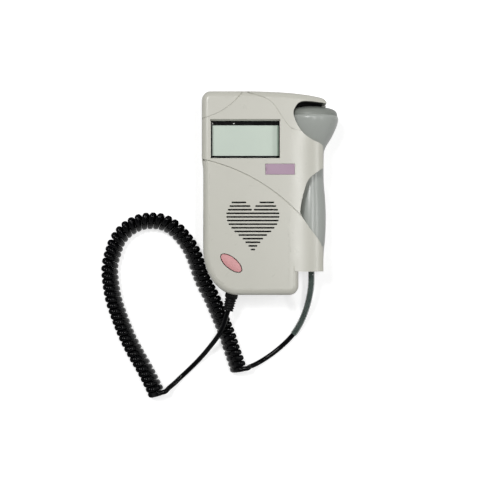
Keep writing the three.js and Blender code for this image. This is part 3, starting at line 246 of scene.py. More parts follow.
# %% Middle lines of the plain ends
PLUG_TURN = math.radians(13)
plug_point = Vector((-27.1, -70.5, 16.0))
BOOT_INNER, BOOT_OUTER = 3.6, 12.5
boot_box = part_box("plug_boot")
PLUG_ROUTE = [
    (-31.5, -87.7, 15.9), (-33.0, -92.8, 15.6), (-35.3, -97.9, 14.4), (-38.7, -103.4, 11.8),
    (-42.9, -109.0, 8.6), (-47.3, -114.5, 5.4), (-51.9, -119.7, 3.0), (-56.3, -124.2, 1.95),
    (-60.6, -128.3, 1.8), (-64.9, -132.3, 2.1), (-68.9, -136.0, 3.9), (-72.6, -138.9, 6.8),
]
PROBE_ROUTE = [
    (29.0, -62.6, 18.9), (28.5, -69.0, 17.0), (27.4, -75.6, 13.9), (25.8, -82.1, 10.2),
    (23.6, -88.6, 6.8), (20.8, -94.6, 4.4), (17.2, -100.2, 3.0), (12.6, -105.4, 2.4),
    (7.2, -110.4, 1.9), (1.4, -115.0, 1.8), (-4.4, -118.9, 2.1), (-10.0, -121.9, 4.2),
    (-14.6, -123.6, 7.4),
]
print("boot spans", [round(v / MM, 1) for v in (*boot_box[0], *boot_box[1])])

# %% [markdown]
# The first points of each end lie on the axis of the plug or of the probe, so that the cord leaves
# straight. The last two repeat the lead of the curls, so that the joint has no kink.

# %% Lay out the plain ends
way_out = Vector((-math.sin(PLUG_TURN), -math.cos(PLUG_TURN), 0.0))
HANDLE_END, GLAND_END = -49.7, -53.7
plug_starts = [plug_point + way_out * BOOT_INNER, plug_point + way_out * BOOT_OUTER]
probe_starts = [Vector((AXIS_X, HANDLE_END + 1.8, AXIS_Z)), Vector((AXIS_X, GLAND_END, AXIS_Z))]
plug_line = curve_through([*plug_starts, *PLUG_ROUTE, curl_start + start_way * CORD, curl_start])
probe_line = curve_through([*probe_starts, *PROBE_ROUTE, curl_end + end_way * CORD, curl_end])
plug_line = even_steps(plug_line, 120)
probe_line = even_steps(probe_line, 160)
print("plain ends", round(line_length(plug_line)), "and", round(line_length(probe_line)), "mm")

# %% [markdown]
# A curve object with a round bevel is Blender's quickest tube. Each one is then turned into a mesh.
# The plain ends and the clear sleeve run between the plug or the probe and the curls.

# %% Tubes along a line
scene_objects = bpy.context.scene.collection.objects


def link(name, data):
    """Puts a new object with some data into the scene."""
    obj = bpy.data.objects.new(name, data)
    scene_objects.link(obj)
    return obj


def keep(shape, name, smooth=False):
    """Turns a bmesh into an object and frees it."""
    bmesh.ops.recalc_face_normals(shape, faces=shape.faces)
    for face in shape.faces:
        face.smooth = smooth
    mesh = bpy.data.meshes.new(name)
    shape.to_mesh(mesh)
    shape.free()
    return link(name, mesh)


def tube(name, line, radius, rings=4, caps=True):
    """A round tube along a line of points, as a mesh object."""
    curve = bpy.data.curves.new(name, "CURVE")
    curve.dimensions = "3D"
    curve.bevel_depth = radius * MM
    curve.bevel_resolution = rings
    curve.use_fill_caps = caps
    spline = curve.splines.new("POLY")
    spline.points.add(len(line) - 1)
    for point, spot in zip(spline.points, line):
        point.co = (*metres(spot), 1.0)
    spline.use_smooth = True
    source = link(name, curve)
    mesh = bpy.data.meshes.new_from_object(source)
    bpy.data.objects.remove(source)
    return link(name, mesh)


plug_tail = tube("cord_to_plug", plug_line, CORD_RADIUS)
probe_tail = tube("cord_to_probe", probe_line, CORD_RADIUS)
print("tail faces", len(plug_tail.data.polygons), len(probe_tail.data.polygons))

# %% [markdown]
# The curls lie so close that the coil's sides look nearly smooth in the photograph. A cord that is
# baked while it is wound comes out a little square, with a flat back. So the curly part is made
# from a squared circle that is extruded from place to place and always faces the coil's axis.

# %% Curly part
SQUARENESS, SECTION_SIDES = 0.8, 14


def extrude(shape, face):
    """Extrudes a face in place; returns the new end face and its corners."""
    made = bmesh.ops.extrude_face_region(shape, geom=[face])["geom"]
    corners = [part for part in made if isinstance(part, bmesh.types.BMVert)]
    return next(part for part in made if isinstance(part, bmesh.types.BMFace)), corners


frames = []
for i, spot in enumerate(curl_line):
    ahead = (curl_line[min(i + 1, len(curl_line) - 1)] - curl_line[max(i - 1, 0)]).normalized()
    out = (curl_reach[i] - ahead * curl_reach[i].dot(ahead)).normalized()
    axes = Matrix((out, ahead.cross(out), ahead)).transposed().to_4x4()
    frames.append(Matrix.Translation(metres(spot)) @ axes)
shape = bmesh.new()
ring = bmesh.ops.create_circle(shape, cap_ends=True, segments=SECTION_SIDES, radius=1.0)["verts"]
size = CURL_CORD_RADIUS * MM
for corner in ring:
    corner.co = [math.copysign(size * abs(value) ** SQUARENESS, value) for value in corner.co]
bmesh.ops.transform(shape, matrix=frames[0], verts=ring)
end = next(iter(shape.faces))
for before, after in zip(frames, frames[1:]):
    end, corners = extrude(shape, end)
    bmesh.ops.transform(shape, matrix=after @ before.inverted(), verts=corners)
curly = keep(shape, "cord_curls", smooth=True)
print("curl faces", len(curly.data.polygons))

# %% [markdown]
# The first stretch of the probe's end runs in a clear sleeve. It is an open tube whose wall gets
# its thickness from a solidify step, so the cord shows through it and its ends show a real edge.

# %% Clear sleeve
SLEEVE_RADIUS, SLEEVE_WALL = 2.4, 0.3


def nearest(line, spot):
    """The number of the point on a line that is nearest to a spot."""
    return min(range(len(line)), key=lambda i: (line[i] - spot).length)


first, last = nearest(probe_line, probe_starts[1]), nearest(probe_line, Vector(PROBE_ROUTE[6]))
sleeve_line = probe_line[first:last + 1]
sleeve = tube("clear_sleeve", sleeve_line, SLEEVE_RADIUS, 6, False)
shell = bmesh.new()
shell.from_mesh(sleeve.data)
bmesh.ops.remove_doubles(shell, verts=shell.verts, dist=1e-6)
bmesh.ops.recalc_face_normals(shell, faces=shell.faces)
bmesh.ops.solidify(shell, geom=shell.faces[:], thickness=SLEEVE_WALL * MM)
bpy.data.objects.remove(sleeve)
sleeve = keep(shell, "clear_sleeve", smooth=True)
print("sleeve", round(line_length(sleeve_line)), "mm long,", len(sleeve.data.polygons), "faces")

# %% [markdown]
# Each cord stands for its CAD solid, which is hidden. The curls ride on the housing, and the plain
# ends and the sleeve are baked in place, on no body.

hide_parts("curly_cord")
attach(curly, "housing")
for piece, node, slot in (
    (plug_tail, "plug_end_cord", "cord_jacket"),
    (probe_tail, "probe_end_cord", "cord_jacket"),
    (sleeve, "probe_cord_sleeve", "clear_tube"),
):
    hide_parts(node)
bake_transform(plug_tail)
for piece in (probe_tail, sleeve):
    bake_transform(piece)
print("cords", round(line_length(curl_line) + line_length(plug_line) + line_length(probe_line)))

# %% [markdown]
# ## The case
#
# Both covers are moulded shells that share one outline. The outline is drawn once, as straight
# runs and arcs, the way it would be drawn on paper. A slab is then a face with that outline,
# extruded, with its front or back edge bevelled round. Holes and recesses are cut with Boolean
# steps, because that is how a tool maker thinks of them: a solid, less the shapes of the tools.

# %% Outline of the case


def arc(x, y, width, height, start, end, steps):
    """Points on an elliptical arc between two angles in degrees."""
    angles = [math.radians(start + (end - start) * i / steps) for i in range(steps + 1)]
    return [(x + width * math.cos(a), y + height * math.sin(a)) for a in angles]


def easing(start, pull, end, steps):
    """Points on a curve that leaves start towards pull and arrives at end from it."""
    a, b, c = Vector(start), Vector(pull), Vector(end)
    return [tuple(a.lerp(b, t).lerp(b.lerp(c, t), t)) for t in (i / steps for i in range(steps + 1))]


outline = [
    *arc(12.9, -64.5, 6.5, 6.5, -90, 0, 10), (19.4, -54.6), (CASE_RIGHT, -54.6), (CASE_RIGHT, 47.0),
    *easing((CASE_RIGHT, 48.0), (38.6, 52.4), (39.6, 58.4), 6), *arc(33.6, 60.6, 6.0, 6.0, 0, 75, 10),
    *easing((35.15, 66.4), (17.98, CASE_TOP), (-21.1, CASE_TOP), 16),
    *arc(-41.8, 64.4, 6.2, 6.6, 90, 180, 14),
    (-48.0, 23.0), (-47.6, 20.4), (-47.2, 18.0), (-47.0, 16.0),
    *arc(-23.0, -39.0, 24.0, 32.0, 180, 270, 24),
]
xs, ys = zip(*outline)
print("case outline", max(xs) - min(xs), "by", max(ys) - min(ys), "mm,", len(outline), "points")

# %% [markdown]
# These small helpers are the whole workshop for the covers. A flat face is extruded to a prism.
# A profile on one side of an axis is spun to a turned solid. A Boolean step joins or cuts, and is
# applied at once, so that the finished piece is one plain mesh.

# %% Prisms and turned solids


def flat_face(shape, points, height):
    """One face in the XY plane, from points in millimetres."""
    face = shape.faces.new([shape.verts.new(metres((x, y, height))) for x, y in points])
    shape.normal_update()
    return face


def raise_face(shape, face, height):
    """Extrudes a face along Z and returns the new end face."""
    end, corners = extrude(shape, face)
    bmesh.ops.translate(shape, verts=corners, vec=(0, 0, height * MM))
    return end


def round_edges(shape, edges, radius, steps):
    """Rolls edges over with a true round."""
    bmesh.ops.bevel(
        shape, geom=edges, offset=radius * MM, offset_type="OFFSET", segments=steps,
        profile=0.5, affect="EDGES", material=-1,
    )


def prism(name, shape, base, height, top_round, low_round, steps):
    """Raises a face to a prism and rounds its upper and lower edges."""
    end = raise_face(shape, base, height)
    upper, lower = list(end.edges), list(base.edges)
    if top_round:
        round_edges(shape, upper, top_round, steps)
    if low_round:
        round_edges(shape, [edge for edge in lower if edge.is_valid], low_round, steps)
    return keep(shape, name)


def slab(name, points, low, high, top_round=0.0, low_round=0.0, steps=6):
    """A prism between two heights, from its outline."""
    shape = bmesh.new()
    return prism(name, shape, flat_face(shape, points, low), high - low, top_round, low_round, steps)


def turned(name, profile, steps=64, axis="Y"):
    """A solid turned from points of radius and place along an axis through the origin."""
    shape = bmesh.new()
    along = {"Y": lambda r, a: (r, a, 0.0), "Z": lambda r, a: (r, 0.0, a)}[axis]
    turn_axis = Vector((0, 1, 0)) if axis == "Y" else Vector((0, 0, 1))
    line = [shape.verts.new(metres(along(r, a))) for r, a in profile]
    off_axis = [max(a[0], b[0]) > 0 for a, b in zip(profile, profile[1:])]
    edges = [shape.edges.new(pair) for pair, off in zip(zip(line, line[1:]), off_axis) if off]
    bmesh.ops.spin(
        shape, geom=[*line, *edges], cent=(0, 0, 0), axis=turn_axis, angle=2 * math.pi,
        steps=steps, use_merge=True,
    )
    bmesh.ops.remove_doubles(shape, verts=shape.verts, dist=1e-7)
    return keep(shape, name)


def rod(name, radius, low, high, steps=32):
    """A plain cylinder along Z through the origin, as a tool or a boss."""
    return turned(name, [(0.0, low), (radius, low), (radius, high), (0.0, high)], steps, "Z")


def place(obj, matrix):
    """Moves a piece's mesh, so that its object stays at the origin."""
    obj.data.transform(matrix)
    return obj


def turn(obj, axis):
    """A quarter turn about an axis through the origin."""
    return place(obj, Matrix.Rotation(math.radians(90), 4, axis))


def shift(obj, *offset):
    """Moves a piece's mesh by an offset in millimetres."""
    return place(obj, Matrix.Translation(metres(offset)))


print("workshop ready")

# %% [markdown]
# A Boolean step is set up as a modifier and its result is taken at once. Of Blender's solvers, the
# manifold one is quick and always gives a closed result from closed solids, which is what a moulded
# part is. The tool is thrown away afterwards, as its shape is now in the piece.

# %% Join and cut


def boolean(target, tool, operation):
    """Applies one Boolean step to the target's mesh."""
    step = target.modifiers.new(operation, "BOOLEAN")
    step.operation, step.object, step.solver = operation, tool, "MANIFOLD"
    graph = bpy.context.evaluated_depsgraph_get()
    result = bpy.data.meshes.new_from_object(target.evaluated_get(graph))
    target.modifiers.clear()
    target.data = result
    bpy.data.objects.remove(tool)
    return target


def cut(target, *tools):
    """Cuts tools out of the target."""
    for tool in tools:
        boolean(target, tool, "DIFFERENCE")
    return target


def join(target, *tools):
    """Adds solids to the target."""
    for tool in tools:
        boolean(target, tool, "UNION")
    return target


def copy_of(obj, name):
    """A second piece with the same mesh."""
    return link(name, obj.data.copy())


def box_outline(x, y, extra=0.0):
    """A rectangle between pairs of places, widened by extra."""
    return [
        (x[0] - extra, y[0] - extra), (x[1] + extra, y[0] - extra),
        (x[1] + extra, y[1] + extra), (x[0] - extra, y[1] + extra),
    ]


def block(name, x, y, z):
    """A block between pairs of places along X, Y and Z."""
    return slab(name, box_outline(x, y), *z)


def layer(name, low, high):
    """A block between two heights that is wider than the case all round."""
    return block(name, (-90.0, 80.0), (-110.0, 110.0), (low, high))


print("Boolean steps use the manifold solver")

# %% [markdown]
# The probe lies in a recess that follows its own shape with a little clearance. The cutter for it
# is a turned solid, swept to the right so that the probe can be pulled out sideways. Turned
# profiles are smoothed through the same few points that the CAD has, so light runs over them
# without facets.

# %% Recess for the probe


def smooth_profile(points, steps=6):
    """A profile with a curve through its points; a point with a third value stays a corner."""
    runs, run = [], []
    for point in points:
        run.append((point[0], point[1], 0.0))
        if len(point) > 2 and len(run) > 1:
            runs.append(run)
            run = [run[-1]]
    runs.append(run)
    line = []
    for run in runs:
        if len(run) > 2:
            run = [tuple(p) for p in curve_through(run, steps)]
        line.extend(run[1:] if line and run[0] == line[-1] else run)
    return [(r, y) for r, y, _ in line]


GRIP = [(8.3, -48.2), (8.94, -40.1), (9.71, -33.0), (10.2, -22.6), (10.2, -12.2), (9.71, -2.7), (8.8, 8.5)]
CONE = [(8.8, 30.0), (10.28, 33.0), (14.46, 40.0), (17.57, 46.65), (19.0, 52.2)]


def recess_points(extra):
    """Recess profile from its foot up, with extra room all round."""
    grown = [(r + 0.6 + extra, y) for r, y in GRIP]
    cone = [(r + 0.9 + extra, y) for r, y in CONE[:-1]]
    return [
        (0.0, -62.0, 1), (3.8 + extra, -62.0, 1), (3.8 + extra, -50.0 - extra, 1),
        (8.9 + extra, -50.0 - extra, 1), *grown, *cone, (20.6 + extra, 52.2), (21.0 + extra, 56.2),
        (19.2 + extra, 58.8 + extra), (8.6, 61.35 + extra), (0.0, 62.2 + extra),
    ]


def recess(name, extra):
    """Cutter for the probe's recess, open to the right."""
    profile = smooth_profile(recess_points(extra))
    half = turned(name, profile)
    sides = [(r, y) for r, y in profile if r > 0]
    loop = [*sides, (0.0, profile[-1][1]), *[(-r, y) for r, y in reversed(sides)]]
    sweep = slab(name + "_sweep", loop, 0.0, CASE_RIGHT + 6.0 - AXIS_X)
    join(half, turn(sweep, "Y"))
    return shift(half, AXIS_X, 0, AXIS_Z)


probe_recess = recess("probe_recess", 0.0)
print("recess cutter", len(probe_recess.data.polygons), "faces")

# %% [markdown]
# Some cutters change their outline on the way up: a slot with a softened lip, or the long grooves.
# They are lofts: closed loops of points, one above the other, joined by bridges.

# %% Lofts and ribbons


def loft(name, loops):
    """A solid through closed loops of points in millimetres, capped at both ends."""
    shape = bmesh.new()
    rings = []
    for loop in loops:
        verts = [shape.verts.new(metres(point)) for point in loop]
        rings.append([shape.edges.new(pair) for pair in zip(verts, verts[1:] + verts[:1])])
    for near, far in zip(rings, rings[1:]):
        bmesh.ops.bridge_loops(shape, edges=near + far)
    bmesh.ops.holes_fill(shape, edges=rings[0] + rings[-1])
    return keep(shape, name)


def lipped(name, outline_of, low, lip, rim=CASE_DEPTH):
    """A cutter whose outline widens by a lip just under the rim; outline_of takes the widening."""
    heights = [(low, 0.0), (rim - lip, 0.0), (rim - lip * 0.3, lip * 0.3), (rim, lip), (rim + 6.0, lip)]
    return loft(name, [[(x, y, z) for x, y in outline_of(wide)] for z, wide in heights])


def ribbon(name, line, width, low, high):
    """A prism that follows a line of points in the XY plane."""
    left_side, right_side = [], []
    for i, (x, y) in enumerate(line):
        before, after = line[max(i - 1, 0)], line[min(i + 1, len(line) - 1)]
        way = Vector((after[0] - before[0], after[1] - before[1])).normalized() * width / 2
        left_side.append((x - way.y, y + way.x))
        right_side.append((x + way.y, y - way.x))
    return slab(name, left_side + right_side[::-1], low, high)


print("loft helpers ready")

# %% [markdown]
# The front rolls over towards the probe like the side of a barrel. Its cutter is a profile carried
# along the case. The roll is full along the handle and dies out towards the hooked corner, so the
# profile is drawn at several stations, shallower each time, and the stations are bridged.

# %% Roll of the front over the probe
ROLL_FROM, ROLL_FALL = 12.0, 6.4


def roll_fall(x, y):
    """How far the front has fallen below its flat part."""
    across = min(max((x - ROLL_FROM) / (CASE_RIGHT - ROLL_FROM), 0.0), 1.0)
    fade = min(max((58.0 - y) / 25.0, 0.0), 1.0)
    fade = fade * fade * (3 - 2 * fade)
    return ROLL_FALL * fade * (1 - (1 - across ** 2.15) ** (1 / 2.15))


def roll_cutter(name, lower):
    """Everything above the rolled front, lowered by a wall where the inside is cut."""
    loops = []
    for y in (-82.0, 20.0, *[33.0 + i * 2.5 for i in range(11)]):
        across = [math.sin(math.radians(90 * i / 24)) for i in range(25)]
        edge = [(ROLL_FROM + u * (CASE_RIGHT - ROLL_FROM)) for u in across]
        line = [(x, y, CASE_DEPTH - lower - roll_fall(x, y)) for x in edge]
        loops.append([*line, (46.0, y, line[-1][2]), (46.0, y, 48.0), (ROLL_FROM, y, 48.0)])
    return loft(name, loops)


print("fall at the handle's crest", round(roll_fall(AXIS_X, 0), 2), "mm")

# %% [markdown]
# The outside of the case has a generous round at the front and a slightly larger one at the back.
# Only the underside of the holster keeps a crisp edge in the photograph, so a sharp block is added
# there before the front is rolled off.

# %% Solid body and its hollow
FRONT_ROUND, BACK_ROUND, FOOT_ROUND = 4.5, 5.5, 0.35


def solid_body(name):
    """The closed outside of the case, without any opening."""
    body = slab(name, outline, 0.0, CASE_DEPTH, FRONT_ROUND, BACK_ROUND, 7)
    foot = box_outline((16.4, CASE_RIGHT), (-54.6, 20.0))
    return join(body, slab("holster_foot", foot, 12.0, CASE_DEPTH, FOOT_ROUND, 0.0, 2))


def hollow(name, low, high, low_round=0.0, top_round=0.0, within=WALL):
    """The inside of the case, one wall or another distance within the outline."""
    shape = bmesh.new()
    face = flat_face(shape, outline, low)
    bmesh.ops.inset_region(
        shape, faces=[face], thickness=within * MM, use_even_offset=True, use_boundary=True,
    )
    rim = [other for other in shape.faces if other != face]
    bmesh.ops.delete(shape, geom=rim, context="FACES")
    return prism(name, shape, face, high - low, top_round, low_round, 3)


def room_inside(name, *sizes, **rounds):
    """The hollow of the case, less the walls round the probe's recess and the solid hook."""
    space = hollow(name, *sizes, **rounds)
    cut(space, recess("recess_wall", WALL))
    return cut(space, block("hook_solid", (12.2, 50.0), (52.2, 75.0), (-5.0, 45.0)))


front = solid_body("front_case")
front_space = room_inside("front_space", 10.0, CASE_DEPTH - WALL, top_round=FRONT_ROUND - WALL)
cut(front_space, roll_cutter("inner_roll", WALL))
cut(front, front_space, roll_cutter("outer_roll", 0.0), copy_of(probe_recess, "front_recess"))
print("front shell", len(front.data.polygons), "faces")

# %% [markdown]
# Two pieces are cut away over the probe. The mouth frees its head under the hooked corner, and the
# finger notch bares the handle. Their edges come from the photograph: a few points each, with a
# smooth curve through them.

# %% Mouth and finger notch
MOUTH = [
    (38.1, 62.15), (33.7, 62.9), (27.4, 63.6), (21.9, 63.6), (19.0, 62.3), (16.9, 59.4), (15.8, 56.7),
    (16.8, 51.1), (20.3, 44.5), (24.0, 40.3), (30.0, 36.6), (34.1, 34.8), (37.2, 32.4),
]
TIP = [(48.0, 66.0), (39.9, 64.3), (39.5, 63.2), (38.9, 62.4)]
NOTCH_TOP = [(36.1, 17.3), (26.5, 9.6), (23.0, 0.6), (21.1, -7.3), (20.4, -13.3)]
NOTCH_LOW = [(20.4, -13.3), (20.9, -14.9), (26.6, -23.3), (32.6, -31.2), (36.5, -37.2)]


def flat_curve(points, steps=5):
    """A smooth curve through points in the XY plane."""
    return [(p.x, p.y) for p in curve_through([(x, y, 0.0) for x, y in points], steps)]


mouth_edge = flat_curve(MOUTH)
notch_edge = flat_curve(NOTCH_TOP) + flat_curve(NOTCH_LOW)[1:]
head_edge = [(x, y) for x, y in mouth_edge if y > 56.0]
cut(
    front,
    slab("mouth", [*TIP, *mouth_edge, (48.0, 32.4)], AXIS_Z, 50.0),
    slab("head_room", [*TIP, *head_edge, (29.0, 42.6), (48.0, 42.6)], 4.0, 50.0),
    slab("finger_notch", [(48.0, 17.3), *notch_edge, (48.0, -37.2)], AXIS_Z, 50.0),
)
print("mouth", len(mouth_edge), "and notch", len(notch_edge), "points")

# %% [markdown]
# The display opening has a chamfered lip, and its upper wall slopes, which the photograph shows as
# a strip in shade over the black mask. The speaker hides behind a heart of slots: fourteen rows at
# an even pitch, each a slot with round ends, parted in the middle for the first three rows.

# %% Display opening, heart and button hole
WINDOW_X, WINDOW_Y = (-41.5, 6.2), (24.2, 49.8)
HEART_X, HEART_TOP, HEART_PITCH, HEART_HALF = -12.4, -6.65, 2.51, 18.4
HEART_WIDTHS = [
    0.804, 0.883, 0.946, 1, 1, 0.973, 0.918, 0.815, 0.696, 0.538, 0.386, 0.283, 0.168, 0.087,
]
HEART_GAPS = [0.25, 0.092, 0.035]
SLOT_HALF, SPEAKER_Y = 0.56, -21.5
BUTTON_X, BUTTON_Y, BUTTON_TURN = -27.4, -48.7, math.radians(-39.4)


def slot_outline(x0, x1, y, wide):
    """A slot with round ends, widened at its lip."""
    r = SLOT_HALF + wide
    return arc(x1 - SLOT_HALF, y, r, r, -90, 90, 8) + arc(x0 + SLOT_HALF, y, r, r, 90, 270, 8)


def button_outline(extra, steps=56):
    """The button's oval, widened by extra."""
    oval = arc(0.0, 0.0, 8.75 + extra, 3.7 + extra, 0, 360, steps)[:-1]
    c, s = math.cos(BUTTON_TURN), math.sin(BUTTON_TURN)
    return [(BUTTON_X + x * c - y * s, BUTTON_Y + x * s + y * c) for x, y in oval]


cut(front, lipped("window", lambda wide: box_outline(WINDOW_X, WINDOW_Y, wide), 30.0, 0.4))
wall = slab("sloping_wall", [(-33.0, 49.7), (-37.2, 49.7), (-37.2, 51.7)], -42.0, 6.7)
cut(front, turn(wall, "Y"))
cut(front, lipped("button_hole", lambda wide: button_outline(0.45 + wide), 30.0, 0.25))
ring = cut(rod("ring", 19.5, 28.8, 35.0, 72), rod("ring_bore", 18.3, 20.0, 40.0, 72))
join(front, shift(ring, HEART_X, SPEAKER_Y, 0))
slots = 0
for row, share in enumerate(HEART_WIDTHS):
    y, outer = HEART_TOP - row * HEART_PITCH, share * HEART_HALF
    inner = HEART_GAPS[row] * HEART_HALF if row < len(HEART_GAPS) else None
    spans = [(-outer, outer)] if inner is None else [(-outer, -inner), (inner, outer)]
    for x0, x1 in spans:
        ends = (HEART_X + x0, HEART_X + x1, y)
        cut(front, lipped("slot", lambda wide, ends=ends: slot_outline(*ends, wide), 28.0, 0.1))
        slots += 1
print(slots, "slots")

# %% [markdown]
# One long groove sweeps from the left side to the notch. Two fainter lines cross the top: an arc
# round the top left corner, and a soft S that runs down to the probe. A groove has to keep its depth
# where the front rounds off, so its tool is a ribbon less the body shrunk by that depth.

# %% Grooves in the front
GROOVE_X, GROOVE_Y, GROOVE_R = -47.0, 23.0, 128.5
groove_end = Vector((36.5, -37.4))
chord = groove_end - Vector((GROOVE_X, GROOVE_Y))
rise = math.sqrt(GROOVE_R ** 2 - (chord.length / 2) ** 2)
across = Vector((chord.y, -chord.x)).normalized()
centre = Vector((GROOVE_X, GROOVE_Y)) + chord / 2 + across * rise
from_angle = math.degrees(math.atan2(groove_end.y - centre.y, groove_end.x - centre.x))
to_angle = math.degrees(math.atan2(GROOVE_Y - centre.y, GROOVE_X - centre.x))
groove_line = arc(centre.x, centre.y, GROOVE_R, GROOVE_R, from_angle + 0.3, to_angle + 1.4, 40)
CORNER_LINE = arc(-55.4, 93.9, 42.9, 42.9, -88.0, -34.0, 24)
SOFT_LINE = flat_curve([
    (-16.4, 70.6), (-14.4, 69.2), (-9.2, 67.7), (-3.2, 65.2), (1.8, 61.3), (6.7, 54.3), (10.7, 48.4),
    (14.6, 44.4), (20.6, 42.9),
], 4)


def groove(name, line, width, depth, low=20.0):
    """A groove of even depth along a line, also where the front rounds off."""
    core = hollow(name + "_core", 10.0, CASE_DEPTH - depth, top_round=FRONT_ROUND - depth, within=depth)
    cut(core, roll_cutter(name + "_roll", depth))
    return cut(ribbon(name, line, width, low, 44.0), core)


cut(
    front, groove("long_groove", groove_line, 1.1, 1.5),
    groove("corner_line", CORNER_LINE, 0.9, 0.6, 31.7), groove("soft_line", SOFT_LINE, 0.9, 0.6, 31.7),
)
print("groove centre", round(centre.x, 1), round(centre.y, 1))

# %% [markdown]
# Both covers need the same holes at their ends: one for the cord's plug, which leaves the case at a
# slant, and one for an earphone jack. Four screw bosses hold the covers together. Each hole is a
# turned solid, placed along its own axis.

# %% Bosses and end holes
SCREWS = [(-41.4, 58.4), (2.6, 62.6), (-40.4, -36.0), (12.2, -62.5)]
PLUG_SPOT = (-27.095, -70.531, 16.0)
PLUG_OUT = Vector((-0.224951, -0.97437, 0.0))
JACK_X, JACK_Z = 4.0, 12.0


def at_screws(name, radius, low, high):
    """One cylinder at each of the four screws."""
    return [shift(rod(name, radius, low, high), x, y, 0) for x, y in SCREWS]


plug_frame = PLUG_OUT.to_track_quat("Z", "Y").to_matrix().to_4x4()
plug_place = Matrix.Translation(metres(PLUG_SPOT)) @ plug_frame
jack_place = Matrix.Translation(metres((JACK_X, 0, JACK_Z))) @ Matrix.Rotation(math.radians(90), 4, "X")


def end_holes():
    """Tools for the plug's hole, the pocket of its socket and the jack's hole."""
    return [
        place(rod("plug_hole", 4.8, -4.5, 9.0, 48), plug_place),
        place(rod("socket_pocket", 5.9, -13.6, -2.2, 48), plug_place),
        place(rod("jack_hole", 3.2, 60.0, 76.0, 40), jack_place),
    ]


print("plug leaves at", [round(v, 3) for v in PLUG_OUT])

# %% [markdown]
# The front cover now gets its screw bosses and a shallow room for the label plate, and everything
# below the seam is cut off. A gap of 0.3 mm stays between the covers, so that the seam shows as a
# thin dark line on the sides.

# %% Finish the front cover
LABEL_X, LABEL_Y = (-3.6, 16.6), (12.75, 20.05)
for post in at_screws("boss", 3.6, 12.0, 34.5):
    join(front, cut(post, copy_of(probe_recess, "boss_recess")))
cut(
    front, slab("label_room", box_outline(LABEL_X, LABEL_Y, 0.3), 35.4, 40.0),
    *at_screws("shank_hole", 1.6, 5.0, 28.5),
    *end_holes(), layer("below_seam", -30.0, PARTING + COVER_GAP / 2),
)
print("front cover", len(front.data.polygons), "faces")

# %% [markdown]
# The rear cover carries the back half of the holster and the battery bay. The bay is a block inside
# the case, hollowed for two cells, with a door that slides off towards the top end. The door runs
# on two thin tongues, and has ridges for the thumb.

# %% Rear cover
BAY_X, BAY_HALF, BAY_LOW, BAY_HIGH, BAY_ROOF = -20.0, 15.5, 5.1, 61.5, 16.85
DOOR_LOW, DOOR_THICK = 3.8, 1.8


def door_room(name, room):
    """The shape of the door with its tongues, grown by some room."""
    half, y = 15.2 + room, (DOOR_LOW - room, 76.0)
    panel = block(name, (BAY_X - half, BAY_X + half), y, (-3.0, DOOR_THICK + room))
    tongue = half + 1.1
    x, z = (BAY_X - tongue, BAY_X + tongue), (0.9 - room, 1.7 + room)
    return join(panel, block("tongues", x, y, z))


rear = solid_body("rear_case")
bay = block("bay", (BAY_X - 18.1, BAY_X + 18.1), (2.5, 72.0), (-1.0, BAY_ROOF + 1.0))
boolean(bay, copy_of(rear, "rear_copy"), "INTERSECT")
cut(rear, room_inside("rear_space", WALL, 30.0, low_round=BACK_ROUND - WALL))
join(rear, *at_screws("rear_boss", 3.6, 1.0, 20.0))
cut(rear, layer("above_seam", PARTING - COVER_GAP / 2, 60.0))
join(rear, bay)
cut(
    rear, block("bay_room", (BAY_X - BAY_HALF, BAY_X + BAY_HALF), (BAY_LOW, BAY_HIGH), (-3.0, BAY_ROOF)),
    door_room("door_room", 0.3), copy_of(probe_recess, "rear_recess"),
    *at_screws("sink", 2.8, -2.0, 4.2), *at_screws("rear_shank", 1.6, -2.0, 22.0), *end_holes(),
)
print("rear cover", len(rear.data.polygons), "faces")

# %% [markdown]
# The door is what its room in the rear cover leaves, less a small clearance, and it follows the
# outside of the case where it meets the rounded top end. Five shallow ridges give the thumb a grip,
# and an arrow shows which way the door slides.

# %% Battery door
door = door_room("door_panel", 0.0)
boolean(door, solid_body("door_outside"), "INTERSECT")
for i in range(5):
    y = DOOR_LOW + 12.55 + i * 2.4
    ridge = turned("ridge", smooth_profile([(0.0, -7.0), (0.5, -6.5), (0.55, 6.5), (0.0, 7.0)], 4), 16)
    cut(door, shift(turn(ridge, "Z"), BAY_X, y, 0.0))
arrow = [(BAY_X - 3.0, 31.5), (BAY_X + 3.0, 31.5), (BAY_X, 36.5)]
cut(door, slab("arrow", arrow, -2.0, 0.4))
print("door", len(door.data.polygons), "faces")

# %% [markdown]
# A closed mesh has exactly two faces at every edge. That is worth a check after so many Boolean
# steps. Then each shell is shaded smooth, apart from the edges that turn by more than 30 degrees,
# and a Weighted Normal modifier keeps the large flat faces flat up to their rounds.

# %% Check and smooth the shells


def open_edges(obj):
    """Number of edges that don't have exactly two faces."""
    shape = bmesh.new()
    shape.from_mesh(obj.data)
    count = sum(1 for edge in shape.edges if len(edge.link_faces) != 2)
    shape.free()
    return count


def smoothed(obj, angle=30.0):
    """Smooth shading with sharp edges kept."""
    mesh = obj.data
    mesh.polygons.foreach_set("use_smooth", [True] * len(mesh.polygons))
    mesh.set_sharp_from_angle(angle=math.radians(angle))
    weights = obj.modifiers.new("even shading", "WEIGHTED_NORMAL")
    weights.keep_sharp = True
    return obj


def settle(obj, name, *replaced, body="housing", slot="case_plastic"):
    """Names a finished piece, lets it ride on its body and stand for CAD nodes."""
    obj.name = obj.data.name = name
    smoothed(obj)
    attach(obj, body)
    if replaced:
        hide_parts(*replaced)
    print(name, len(obj.data.polygons), "faces,", open_edges(obj), "open edges")
    return obj


front = settle(front, "case_front", "front_cover")
rear = settle(rear, "case_rear", "rear_cover")
door = settle(door, "cell_door", "battery_door", body="door")
bpy.data.objects.remove(probe_recess)

